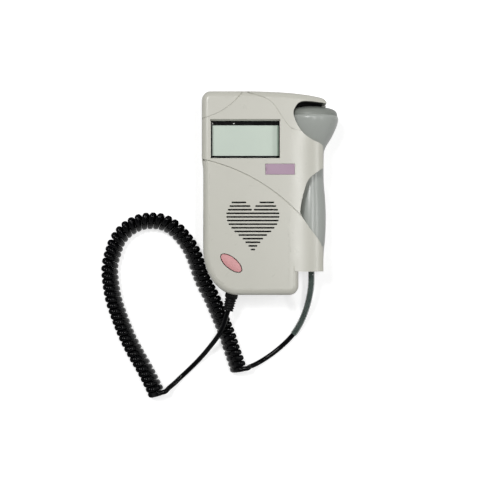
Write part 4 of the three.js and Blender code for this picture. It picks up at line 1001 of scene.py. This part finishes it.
# %% [markdown]
# ## The probe
#
# The probe is a turned form: a wide head that narrows to a neck, and a handle with a gentle bulge.
# Its two half shells meet on a seam, and a darker cap closes the head over the crystal. Each part is
# one closed profile, spun about the probe's axis.

# %% Turned parts of the probe
outside = smooth_profile([
    (16.6, 54.4, 1), (18.45, 54.4, 1), (18.9, 53.3), (19.0, 52.0), (17.57, 46.65), (14.46, 40.0),
    (10.28, 33.0), (8.95, 29.2), (8.8, 26.0), (8.8, 8.5), (9.71, -2.7), (10.2, -12.2), (10.2, -22.6),
    (9.71, -33.0), (8.94, -40.1), (8.3, -48.2), (7.8, -49.4), (6.8, -49.7, 1), (3.4, -49.7, 1),
], 6)
inside = [(3.4, -47.9), (6.0, -47.9), (6.9, -46.6), *[(r - 1.8, y) for r, y in reversed(outside[12:-14])]]
inside = [(r, y) for r, y in inside if y < 51.5] + [(16.6, 51.5)]
shell = shift(turned("shell", [*outside, *inside, outside[0]], 96), AXIS_X, 0, AXIS_Z)
halves = {
    "probe_front": block("rear_space", (-10.0, 70.0), (-90.0, 90.0), (-20.0, AXIS_Z + 0.12)),
    "probe_rear": block("front_space", (-10.0, 70.0), (-90.0, 90.0), (AXIS_Z - 0.12, 60.0)),
}
for name, other_half in halves.items():
    half = cut(copy_of(shell, name), other_half)
    settle(half, name, name + "_shell", body="probe", slot="probe_plastic")
bpy.data.objects.remove(shell)
cap_profile = smooth_profile([
    (16.0, 54.46, 1), (18.4, 54.46, 1), (18.2, 56.0), (17.7, 57.3), (16.7, 58.5), (15.2, 59.3),
    (12.9, 60.0), (8.6, 60.9), (4.3, 61.45), (0.0, 61.6, 1),
], 5)
cap = turned("cap", [*cap_profile, (0.0, 60.0), (8.6, 59.1), (16.0, 56.5), (16.0, 54.46)], 96)
shift(cap, AXIS_X, 0, AXIS_Z)
settle(cap, "probe_cap", "probe_face", body="probe", slot="probe_face_plastic")

# %% [markdown]
# The button is an oval with a soft crown. Its top face is raised in a few steps, each a little
# smaller than the one before. The label is a thin plate with a softened edge, and it is left bare.

# %% Button and label


def crowned(name, loop, centre, low, high, round_off, crown):
    """A plate from a loop, with a rounded top edge and a top that swells by a crown."""
    shape = bmesh.new()
    end = raise_face(shape, flat_face(shape, loop, low), high - low)
    round_edges(shape, list(end.edges), round_off, 4)
    top = max(shape.faces, key=lambda face: (round(face.calc_center_median().z, 6), face.calc_area()))
    about, size = Matrix.Translation(-metres((*centre, 0.0))), 1.0
    for share in (0.93, 0.82, 0.68, 0.5, 0.28):
        top = raise_face(shape, top, crown * (size ** 2 - share ** 2))
        bmesh.ops.scale(shape, vec=(share / size, share / size, 1), space=about, verts=top.verts)
        size = share
    return keep(shape, name)


button = crowned("button", button_outline(0.0, 72), (BUTTON_X, BUTTON_Y), 26.7, 36.3, 0.55, 0.4)
join(button, slab("flange", button_outline(1.3, 72), 31.9, 33.1, 0.2, 0.2, 2))
cut(button, shift(rod("stem_space", 12.0, 20.0, 31.9), BUTTON_X, BUTTON_Y, 0))
join(button, shift(rod("stem", 1.9, 26.7, 33.0), BUTTON_X, BUTTON_Y, 0))
settle(button, "pink_button", "power_button", body="button", slot="button_plastic")
plate = slab("plate", box_outline(LABEL_X, LABEL_Y), 35.4, 36.0, 0.18, 0.0, 3)
line_x = (LABEL_X[0] + 0.9, LABEL_X[0] + 1.3)
cut(plate, block("plate_line", line_x, (LABEL_Y[0] - 1.0, LABEL_Y[1] + 1.0), (35.75, 37.0)))
settle(plate, "name_plate", "front_label", slot="label_plastic")

# %% [markdown]
# The display's frame stands behind the opening like a picture mount: black walls round the glass
# and a black mask over its rim. Two tiny light-coloured pips sit in the mask's upper strip.

# %% Display frame
frame_piece = block("mount", (-42.3, 7.0), (23.4, 51.9), (26.0, 31.7))
cut(
    frame_piece,
    block("mount_space", (-41.3, 6.0), (24.4, 50.9), (20.0, 30.9)),
    lipped("view", lambda wide: box_outline((-40.7, 5.6), (26.0, 47.4), wide), 25.0, 0.25, 31.7),
)
for x in (-35.5, 0.2):
    for y in (23.9, 51.4):
        leg = block("leg", (x - 1.2, x + 1.2), (y - 0.5, y + 0.5), (22.2, 28.0))
        join(frame_piece, leg)
settle(frame_piece, "display_mount", "display_frame", slot="black_plastic")
for index, x in enumerate((-40.4, -25.6), 1):
    pip = turned("pip", [(0.0, 31.3), (0.42, 31.3), (0.42, 31.72), (0.25, 31.85), (0.0, 31.88)], 20, "Z")
    shift(pip, x, 48.4, 0.0)
    settle(pip, "display_pip_" + str(index), slot="white_plastic")

# %% [markdown]
# The plug's boot is soft rubber with five ribs, so that it bends without kinking the cord. The ribs
# are part of its turned profile, with a small round on every crest.

# %% Plug boot
boot = [(4.4, -1.2, 1), (4.4, 3.2)]
for i in range(5):
    start = 3.5 + i * 1.8
    crest = 4.4 - 0.7 * (start + 1.8) / 12.5
    boot += [(crest - 0.5, start + 0.3), (crest - 0.5, start + 0.8)]
    boot += [(crest, start + 1.05), (crest, start + 1.65)]
boot = smooth_profile(boot, 3)
boot_shape = [*boot, (3.4, 12.5), (1.85, 12.5), (1.85, 3.2), (2.75, 3.2), (2.75, -1.2), boot[0]]
boot_piece = place(turned("boot", boot_shape, 48, "Z"), plug_place)
settle(boot_piece, "plug_sleeve", "plug_boot", body="plug", slot="black_rubber")

# %% [markdown]
# ## Materials
#
# Moulded plastic is never one flat colour. It has a fine grain from the mould, a faint mottle in its
# colour, and a sheen that hands have polished unevenly. One node group makes all three, and every
# plastic and rubber of the unit uses it with its own values. The shader itself stays in each
# material, so that it can be changed there.

# %% Node groups


def ink(red, green, blue):
    """A colour as seen on a screen, 0 to 255, as the linear colour that Blender wants."""
    shares = [value / 255 for value in (red, green, blue)]
    return (*[v / 12.92 if v <= 0.04045 else ((v + 0.055) / 1.055) ** 2.4 for v in shares], 1.0)


def feed(tree, target, value):
    """Links a socket to an input, or sets the input to a plain value."""
    if isinstance(value, bpy.types.NodeSocket):
        tree.links.new(value, target)
    else:
        target.default_value = value


def add(tree, kind, **values):
    """Adds a node; values name its inputs, or its properties where there is no such input."""
    node = tree.nodes.new(kind)
    for name, value in values.items():
        title = name.replace("_", " ")
        if title in node.inputs:
            feed(tree, node.inputs[title], value)
        else:
            setattr(node, name, value)
    return node


def new_group(name, inputs, outputs):
    """An empty node group with named sockets."""
    group = bpy.data.node_groups.new(name, "ShaderNodeTree")
    for title, kind, value in inputs:
        socket = group.interface.new_socket(title, in_out="INPUT", socket_type=kind)
        socket.default_value = value
    for title, kind in outputs:
        group.interface.new_socket(title, in_out="OUTPUT", socket_type=kind)
    return group, group.nodes.new("NodeGroupInput").outputs, group.nodes.new("NodeGroupOutput").inputs


def between(tree, value, low, high):
    """Maps a texture's value, from 0.3 to 0.7, to a range whose ends may be sockets."""
    ends = {"From_Min": 0.3, "From_Max": 0.7, "To_Min": low, "To_Max": high}
    return add(tree, "ShaderNodeMapRange", Value=value, **ends).outputs["Result"]


def arithmetic(tree, operation, first, second):
    """One Math node; both values may be numbers or sockets."""
    node = add(tree, "ShaderNodeMath", operation=operation)
    for socket, value in zip(node.inputs, (first, second)):
        feed(tree, socket, value)
    return node.outputs[0]


def noise(tree, spot, scale, detail, roughness=0.5):
    """A noise texture's value."""
    values = {"Vector": spot, "Scale": scale, "Detail": detail, "Roughness": roughness}
    return add(tree, "ShaderNodeTexNoise", **values).outputs[0]


def scaled(tree, colour, share):
    """A colour made darker by a share."""
    node = add(tree, "ShaderNodeVectorMath", operation="SCALE", Scale=share)
    tree.links.new(colour, node.inputs[0])
    return node.outputs[0]


def relief(tree, height, strength, distance):
    """The normal of a surface with a bumpy texture."""
    return add(tree, "ShaderNodeBump", Height=height, Strength=strength, Distance=distance).outputs[0]


def paint_with(tree, inputs, **values):
    """Feeds several inputs of a shader or of a group's output by name."""
    for name, value in values.items():
        feed(tree, inputs[name.replace("_", " ")], value)


COLOUR, NUMBER, DIRECTION = "NodeSocketColor", "NodeSocketFloat", "NodeSocketVector"
moulded, given, out = new_group(
    "moulded surface",
    [
        ("Colour", COLOUR, ink(200, 200, 190)), ("Mottle", NUMBER, 0.03), ("Grain", NUMBER, 2500.0),
        ("Depth", NUMBER, 0.1), ("Sheen Low", NUMBER, 0.4), ("Sheen High", NUMBER, 0.55),
    ],
    [("Colour", COLOUR), ("Roughness", NUMBER), ("Normal", DIRECTION)],
)
spot = add(moulded, "ShaderNodeTexCoord").outputs["Object"]
darker = arithmetic(moulded, "SUBTRACT", 1.0, given["Mottle"])
clouds = between(moulded, noise(moulded, spot, 55.0, 4.0), darker, 1.0)
handling = noise(moulded, spot, 130.0, 5.0, 0.6)
grain = noise(moulded, spot, given["Grain"], 2.0)
paint_with(
    moulded, out, Colour=scaled(moulded, given["Colour"], clouds),
    Roughness=between(moulded, handling, given["Sheen Low"], given["Sheen High"]),
    Normal=relief(moulded, grain, given["Depth"], 0.0002),
)
print("group", moulded.name, len(moulded.nodes), "nodes")

# %% [markdown]
# Metal shows the marks of its making instead: fine lines along one direction, where it was rolled,
# drawn or turned. The second group stretches a noise along the piece's X axis for them.

# %% Metal group
drawn, given, out = new_group(
    "drawn metal",
    [("Colour", COLOUR, ink(180, 180, 178)), ("Lines", NUMBER, 900.0), ("Depth", NUMBER, 0.15)],
    [("Colour", COLOUR), ("Roughness", NUMBER), ("Normal", DIRECTION)],
)
spot = add(drawn, "ShaderNodeTexCoord").outputs["Object"]
stretch = add(drawn, "ShaderNodeMapping", Vector=spot, Scale=(0.08, 1.0, 1.0)).outputs[0]
lines = noise(drawn, stretch, given["Lines"], 3.0)
stains = between(drawn, noise(drawn, spot, 160.0, 4.0), 0.82, 1.0)
paint_with(
    drawn, out, Colour=scaled(drawn, given["Colour"], stains),
    Roughness=between(drawn, lines, 0.22, 0.42), Normal=relief(drawn, lines, given["Depth"], 0.0001),
)
print("group", drawn.name, len(drawn.nodes), "nodes")

# %% [markdown]
# Each finish below is one of the two groups with its own colour and values. The cord's jacket and
# the boot are nearly black and glossy: such a surface is dark except for small, sharp highlights, so
# it needs a low specular level and a low roughness. The case is a satin plastic, a little warm.

# %% Plain plastics, rubbers and metals


def bare_material(name, **shader):
    """A material with its tree and its shader's inputs; shader names inputs with a constant."""
    paint = bpy.data.materials.new(name)
    paint.use_nodes = True
    tree = paint.node_tree
    paint_with(tree, tree.nodes["Principled BSDF"].inputs, **shader)
    return paint, tree, tree.nodes["Principled BSDF"].inputs


def finish_from(group, name, colour, values, **shader):
    """A material whose shader takes its colour, roughness and normal from a group."""
    paint, tree, into = bare_material(name, **shader)
    node = add(tree, "ShaderNodeGroup", node_tree=group)
    paint_with(tree, node.inputs, Colour=ink(*colour), **values)
    colour, roughness, normal = node.outputs
    paint_with(tree, into, Base_Color=colour, Roughness=roughness, Normal=normal)
    return paint


def plastic(name, colour, mottle=0.03, grain=2500.0, depth=0.1, sheen=(0.38, 0.52), **shader):
    """A moulded plastic or rubber."""
    low, high = sheen
    values = {"Mottle": mottle, "Grain": grain, "Depth": depth, "Sheen_Low": low, "Sheen_High": high}
    return finish_from(moulded, name, colour, values, **shader)


def metal(name, colour, lines=900.0, depth=0.15):
    """A rolled, drawn or turned metal."""
    return finish_from(drawn, name, colour, {"Lines": lines, "Depth": depth}, Metallic=1.0)


finishes = {
    "case": plastic(
        "pale_case_plastic", (194, 193, 183), mottle=0.02, depth=0.02, sheen=(0.27, 0.31),
        Specular_IOR_Level=0.45,
    ),
    "probe": plastic("grey_probe_plastic", (160, 164, 159), mottle=0.03, sheen=(0.27, 0.31)),
    "probe_cap": plastic("probe_cap_plastic", (128, 132, 126), mottle=0.05, grain=1800.0),
    "button": plastic("pink_rubber", (207, 149, 150), mottle=0.05, grain=3200.0, sheen=(0.42, 0.55)),
    "label": plastic("mauve_plastic", (164, 136, 157), mottle=0.06, grain=4000.0, depth=0.05),
    "black": plastic("black_plastic", (18, 18, 20), mottle=0.2, sheen=(0.3, 0.45)),
    "mask": plastic("black_mask", (3, 3, 4), mottle=0.2, sheen=(0.5, 0.6), Specular_IOR_Level=0.06),
    "white": plastic("white_plastic", (236, 236, 232), mottle=0.03),
    "rubber": plastic(
        "black_rubber", (8, 8, 10), mottle=0.3, grain=3000.0, depth=0.15, sheen=(0.36, 0.48),
        Specular_IOR_Level=0.12,
    ),
    "jacket": plastic(
        "cord_jacket", (4, 4, 6), mottle=0.3, grain=1600.0, depth=0.03, sheen=(0.06, 0.12),
        Specular_IOR_Level=0.1,
    ),
    "cone": plastic("speaker_paper", (52, 50, 48), mottle=0.25, grain=1400.0, depth=0.5, sheen=(0.8, 0.95)),
    "ceramic": plastic("crystal_ceramic", (206, 190, 160), mottle=0.1, sheen=(0.3, 0.5)),
    "steel": metal("zinc_steel", (186, 186, 182)),
    "nickel": metal("nickel_spring", (206, 200, 188), lines=1400.0, depth=0.08),
    "magnet": metal("magnet_steel", (96, 96, 98), lines=700.0),
}
print(len(finishes), "finishes")

# %% [markdown]
# A few surfaces need a drawing of their own. The circuit boards carry copper tracks under green
# lacquer. The cells have a printed wrap with a bare metal end. The speaker's cloth is a fine weave,
# and the display is a pale green liquid crystal glass behind a clear window.

# %% Circuit board and cells


def mixed(tree, share, first, second):
    """A colour between two, which are colours or sockets, by a share from a socket."""
    node = add(tree, "ShaderNodeMix", data_type="RGBA")
    tree.links.new(share, node.inputs["Factor"])
    sockets = [socket for socket in node.inputs if socket.type == "RGBA"]
    for socket, value in zip(sockets, (first, second)):
        feed(tree, socket, value)
    return next(socket for socket in node.outputs if socket.type == "RGBA")


def parts_of(tree, vector):
    """The X, Y and Z sockets of a vector."""
    parts = add(tree, "ShaderNodeSeparateXYZ")
    tree.links.new(vector, parts.inputs[0])
    return parts.outputs


def place_parts(tree):
    """A point on the object, and its X, Y and Z sockets."""
    spot = add(tree, "ShaderNodeTexCoord").outputs["Object"]
    return spot, parts_of(tree, spot)


def circuit(name, chip_height):
    """Green lacquer over copper tracks; above the chip height it is black plastic."""
    paint, tree, into = bare_material(name)
    spot, along = place_parts(tree)
    tracks = add(tree, "ShaderNodeTexBrick", Vector=spot, Scale=210.0, Mortar_Size=0.03, Mortar_Smooth=0.4)
    dots = add(tree, "ShaderNodeTexVoronoi", Vector=spot, Scale=420.0).outputs["Distance"]
    lacquer = mixed(tree, tracks.outputs["Fac"], ink(22, 92, 52), ink(46, 128, 74))
    copper = mixed(tree, arithmetic(tree, "LESS_THAN", dots, 0.16), lacquer, ink(206, 190, 120))
    chip = arithmetic(tree, "GREATER_THAN", along["Z"], chip_height * MM)
    paint_with(
        tree, into, Base_Color=mixed(tree, chip, copper, ink(26, 26, 28)),
        Roughness=between(tree, dots, 0.3, 0.45), Normal=relief(tree, tracks.outputs["Fac"], 0.3, 0.0001),
    )
    return paint


finishes["board"] = circuit("main_circuit", 22.1)
finishes["small_board"] = circuit("probe_circuit", 60.0)
paint, tree, into = bare_material("cell_wrap")
spot, along = place_parts(tree)
facing = parts_of(tree, add(tree, "ShaderNodeNewGeometry").outputs["Normal"])
bare_end = arithmetic(tree, "GREATER_THAN", arithmetic(tree, "ABSOLUTE", facing["Y"], 0.0), 0.6)
band = arithmetic(tree, "GREATER_THAN", along["Y"], 0.046)
wrap = mixed(tree, band, ink(44, 74, 118), ink(196, 198, 200))
paint_with(
    tree, into, Base_Color=mixed(tree, bare_end, wrap, ink(196, 194, 188)), Metallic=bare_end,
    Roughness=between(tree, noise(tree, spot, 260.0, 6.0), 0.22, 0.36),
)
finishes["cell"] = paint
print("boards and cells painted")

# %% [markdown]
# The probe's face rests against the end of its recess, under the hooked corner, where the gap lies
# in deep shade. That shade is painted into the case's material: inside a box of places on the case
# the colour turns near black with a fine speckle, and the surface gets rougher. It has no thickness
# worth modelling, so it is a zone of the case's material, bounded by places on the case.

# %% Painted shade under the hook
# A box of places on the case, under the hook, where shade is painted into its colour.
HOOK_SHADE_BOX = {"X": (14.5, 36.5), "Y": (56.5, 64.3), "Z": (3.0, 31.5)}
tree = finishes["case"].node_tree
into = tree.nodes["Principled BSDF"].inputs
spot, along = place_parts(tree)
shade_zone = 1.0
for axis, ends in HOOK_SHADE_BOX.items():
    for test, end in zip(("GREATER_THAN", "LESS_THAN"), ends):
        shade_zone = arithmetic(tree, "MULTIPLY", shade_zone, arithmetic(tree, test, along[axis], end * MM))
# Inside the box the case's colour becomes a near-black painted shade with a fine speckle, and its roughness
# is raised.
speckle = noise(tree, spot, 2600.0, 3.0)
painted_shade = mixed(tree, speckle, ink(4, 4, 4), ink(22, 22, 21))
rougher = arithmetic(tree, "MULTIPLY", shade_zone, between(tree, speckle, 0.85, 0.98))
plain = {name: into[name].links[0].from_socket for name in ("Base Color", "Roughness")}
paint_with(
    tree, into, Base_Color=mixed(tree, shade_zone, plain["Base Color"], painted_shade),
    Roughness=arithmetic(tree, "MAXIMUM", plain["Roughness"], rougher),
)
print("painted hook shade set")

# %% [markdown]
# Cloth behind the slots only shows as a dark weave, made of two waves that cross. The clear parts
# let most light straight through by their alpha, because a real glass shader would bend the view
# of the display and of the cord, which a thin window and a thin sleeve hardly do.

# %% Cloth, display and clear parts
paint, tree, into = bare_material("speaker_cloth_weave")
spot = place_parts(tree)[0]
threads = [
    add(tree, "ShaderNodeTexWave", bands_direction=axis, Vector=spot, Scale=420.0, Distortion=0.6)
    for axis in ("X", "Y")
]
weave = arithmetic(tree, "MULTIPLY", *[wave.outputs["Fac"] for wave in threads])
paint_with(
    tree, into, Base_Color=mixed(tree, weave, ink(6, 6, 6), ink(24, 24, 23)),
    Roughness=between(tree, weave, 0.95, 0.75), Normal=relief(tree, weave, 0.6, 0.0002),
)
finishes["cloth"] = paint

paint, tree, into = bare_material("liquid_crystal", Specular_IOR_Level=0.2)
spot, along = place_parts(tree)
right = add(tree, "ShaderNodeMapRange", Value=along["X"], From_Min=0.0043, From_Max=0.0047).outputs[0]
clouds = noise(tree, spot, 24.0, 3.0)
ground = mixed(tree, between(tree, clouds, 0.0, 1.0), ink(201, 213, 202), ink(208, 220, 208))
paint_with(
    tree, into, Base_Color=mixed(tree, right, ground, ink(150, 168, 152)),
    Roughness=between(tree, clouds, 0.42, 0.52),
)
finishes["lcd"] = paint


def clear(name, tint, haze_tint, alpha, low, high):
    """A clear plastic that lets most light straight through."""
    paint, tree, into = bare_material(name, Alpha=alpha, IOR=1.49)
    haze = noise(tree, place_parts(tree)[0], 180.0, 4.0)
    colour = mixed(tree, haze, ink(*tint), ink(*haze_tint))
    paint_with(tree, into, Base_Color=colour, Roughness=between(tree, haze, low, high))
    return paint


finishes["window"] = clear("clear_window", (20, 22, 20), (40, 42, 40), 0.03, 0.06, 0.1)
finishes["sleeve"] = clear("clear_sleeve_plastic", (60, 76, 70), (130, 146, 140), 0.3, 0.06, 0.12)
print(len(finishes), "finishes in all")

# %% [markdown]
# One table says which piece wears which finish. It covers the new pieces and every CAD part that is
# carried over, also those inside the case, because they show when a cover is taken off.

# %% Put the finishes on
WORN = {
    "case": ["case_front", "case_rear", "cell_door"],
    "probe": ["probe_front", "probe_rear"],
    "probe_cap": ["probe_cap"],
    "button": ["pink_button"],
    "label": ["name_plate"],
    "mask": ["display_mount"],
    "black": ["cord_socket", "earphone_jack", "button_switch", "speaker_frame"],
    "white": ["display_backlight", "display_pip_1", "display_pip_2"],
    "rubber": ["plug_sleeve", "probe_gland"],
    "jacket": ["cord_curls", "cord_to_plug", "cord_to_probe"],
    "cone": ["speaker_cone"],
    "ceramic": ["probe_crystal"],
    "steel": ["cover_screw_1", "cover_screw_2", "cover_screw_3", "cover_screw_4"],
    "nickel": ["contact_bridge", "contact_negative", "contact_positive", "plug_barrel"],
    "magnet": ["speaker_magnet"],
    "board": ["circuit_board"],
    "small_board": ["probe_board"],
    "cell": ["battery_cell_left", "battery_cell_right"],
    "cloth": ["speaker_cloth"],
    "lcd": ["display_glass"],
    "window": ["display_lens"],
    "sleeve": ["clear_sleeve"],
}
for finish, pieces in WORN.items():
    for name in pieces:
        piece = bpy.data.objects[name]
        if piece.material_slots:
            for slot in piece.material_slots:
                slot.material = finishes[finish]
        else:
            piece.data.materials.append(finishes[finish])
print(sum(map(len, WORN.values())), "pieces dressed")

# %% [markdown]
# ## Light, floor and background
#
# The product lies on a pure white ground in soft studio light. Three area lamps and an even world
# light it, at a level where a mid grey renders as that grey. The whiteness of the ground comes from
# its own colour as the camera sees it, and not from more light on the object. Mirrored rays see a
# white horizon and a darker ceiling, as in a studio, so that black plastic stays black from above.

# %% World
world = bpy.data.worlds.new("studio")
bpy.context.scene.world = world
world.use_nodes = True
sky = world.node_tree
sky.nodes.clear()


def seen_directly(tree, mirrored):
    """1 for rays from the camera or through glass, and the given value for mirrored rays."""
    path = add(tree, "ShaderNodeLightPath").outputs
    clear_view = arithmetic(tree, "MAXIMUM", path["Is Camera Ray"], path["Is Transmission Ray"])
    in_mirrors = arithmetic(tree, "MULTIPLY", path["Is Glossy Ray"], mirrored)
    return arithmetic(tree, "MAXIMUM", clear_view, in_mirrors)


AMBIENT = 0.12
upward = parts_of(sky, add(sky, "ShaderNodeTexCoord").outputs["Generated"])["Z"]
fade = {"From_Min": 0.2, "From_Max": 0.8, "To_Min": 1.0, "To_Max": 0.25}
ceiling = add(sky, "ShaderNodeMapRange", Value=upward, **fade).outputs["Result"]
level = arithmetic(sky, "MAXIMUM", seen_directly(sky, ceiling), AMBIENT)
back = add(sky, "ShaderNodeBackground", Color=(1.0, 1.0, 1.0, 1.0), Strength=level)
add(sky, "ShaderNodeOutputWorld", Surface=back.outputs["Background"])
print("ambient level", AMBIENT)

# %% [markdown]
# The floor is a plain sheet, so wide that its edge is never seen. It lies a hair under the object.
# Its colour takes the shadows, and a little glow that only the camera sees lifts it to white.

# %% Floor
shape = bmesh.new()
bmesh.ops.create_grid(shape, x_segments=2, y_segments=2, size=3.0)
floor = shift(keep(shape, "floor"), 0, 0, -0.05)
paint, tree, into = bare_material("floor_white", Roughness=0.9)
paint_with(
    tree, into, Base_Color=(0.6, 0.6, 0.6, 1.0), Emission_Color=(1.0, 1.0, 1.0, 1.0),
    Emission_Strength=arithmetic(tree, "MULTIPLY", seen_directly(tree, 0.5), 0.62),
)
floor.data.materials.append(paint)
print("floor 6 m wide")

# %% [markdown]
# The key lamp stands at the upper left, high up. Two long, narrow lamps lie along the case on its
# right. The rolled side mirrors each of them as a bright band, as the photograph shows, and the
# flat front mirrors neither, so it stays even.

# %% Lamps


def lamp(name, place_at, aim, size, watts):
    """An area lamp that faces a point; places and size, across and along, in millimetres."""
    light = bpy.data.lights.new(name, "AREA")
    light.shape, light.energy = "RECTANGLE", watts
    light.size, light.size_y = size[0] * MM, size[1] * MM
    obj = link(name, light)
    obj.location = metres(place_at)
    obj.visible_camera = False
    obj.rotation_euler = (metres(aim) - metres(place_at)).to_track_quat("-Z", "Y").to_euler()


MIDDLE, HIGH_MIDDLE = (-5.0, 0.0, 20.0), (-5.0, 80.0, 20.0)
lamp("key", (-430.0, 400.0, 1260.0), MIDDLE, (300, 300), 9.0)
lamp("overhead", (235.0, 80.0, 1250.0), HIGH_MIDDLE, (560, 60), 4.4)
lamp("side", (820.0, 80.0, 900.0), HIGH_MIDDLE, (560, 80), 3.0)
bpy.context.scene.view_settings.view_transform = "Standard"
print("lamps", [light.name for light in bpy.data.lights])

# %% [markdown]
# The scene is brought up to date once more at the end.

# %% Close
bpy.context.view_layer.update()
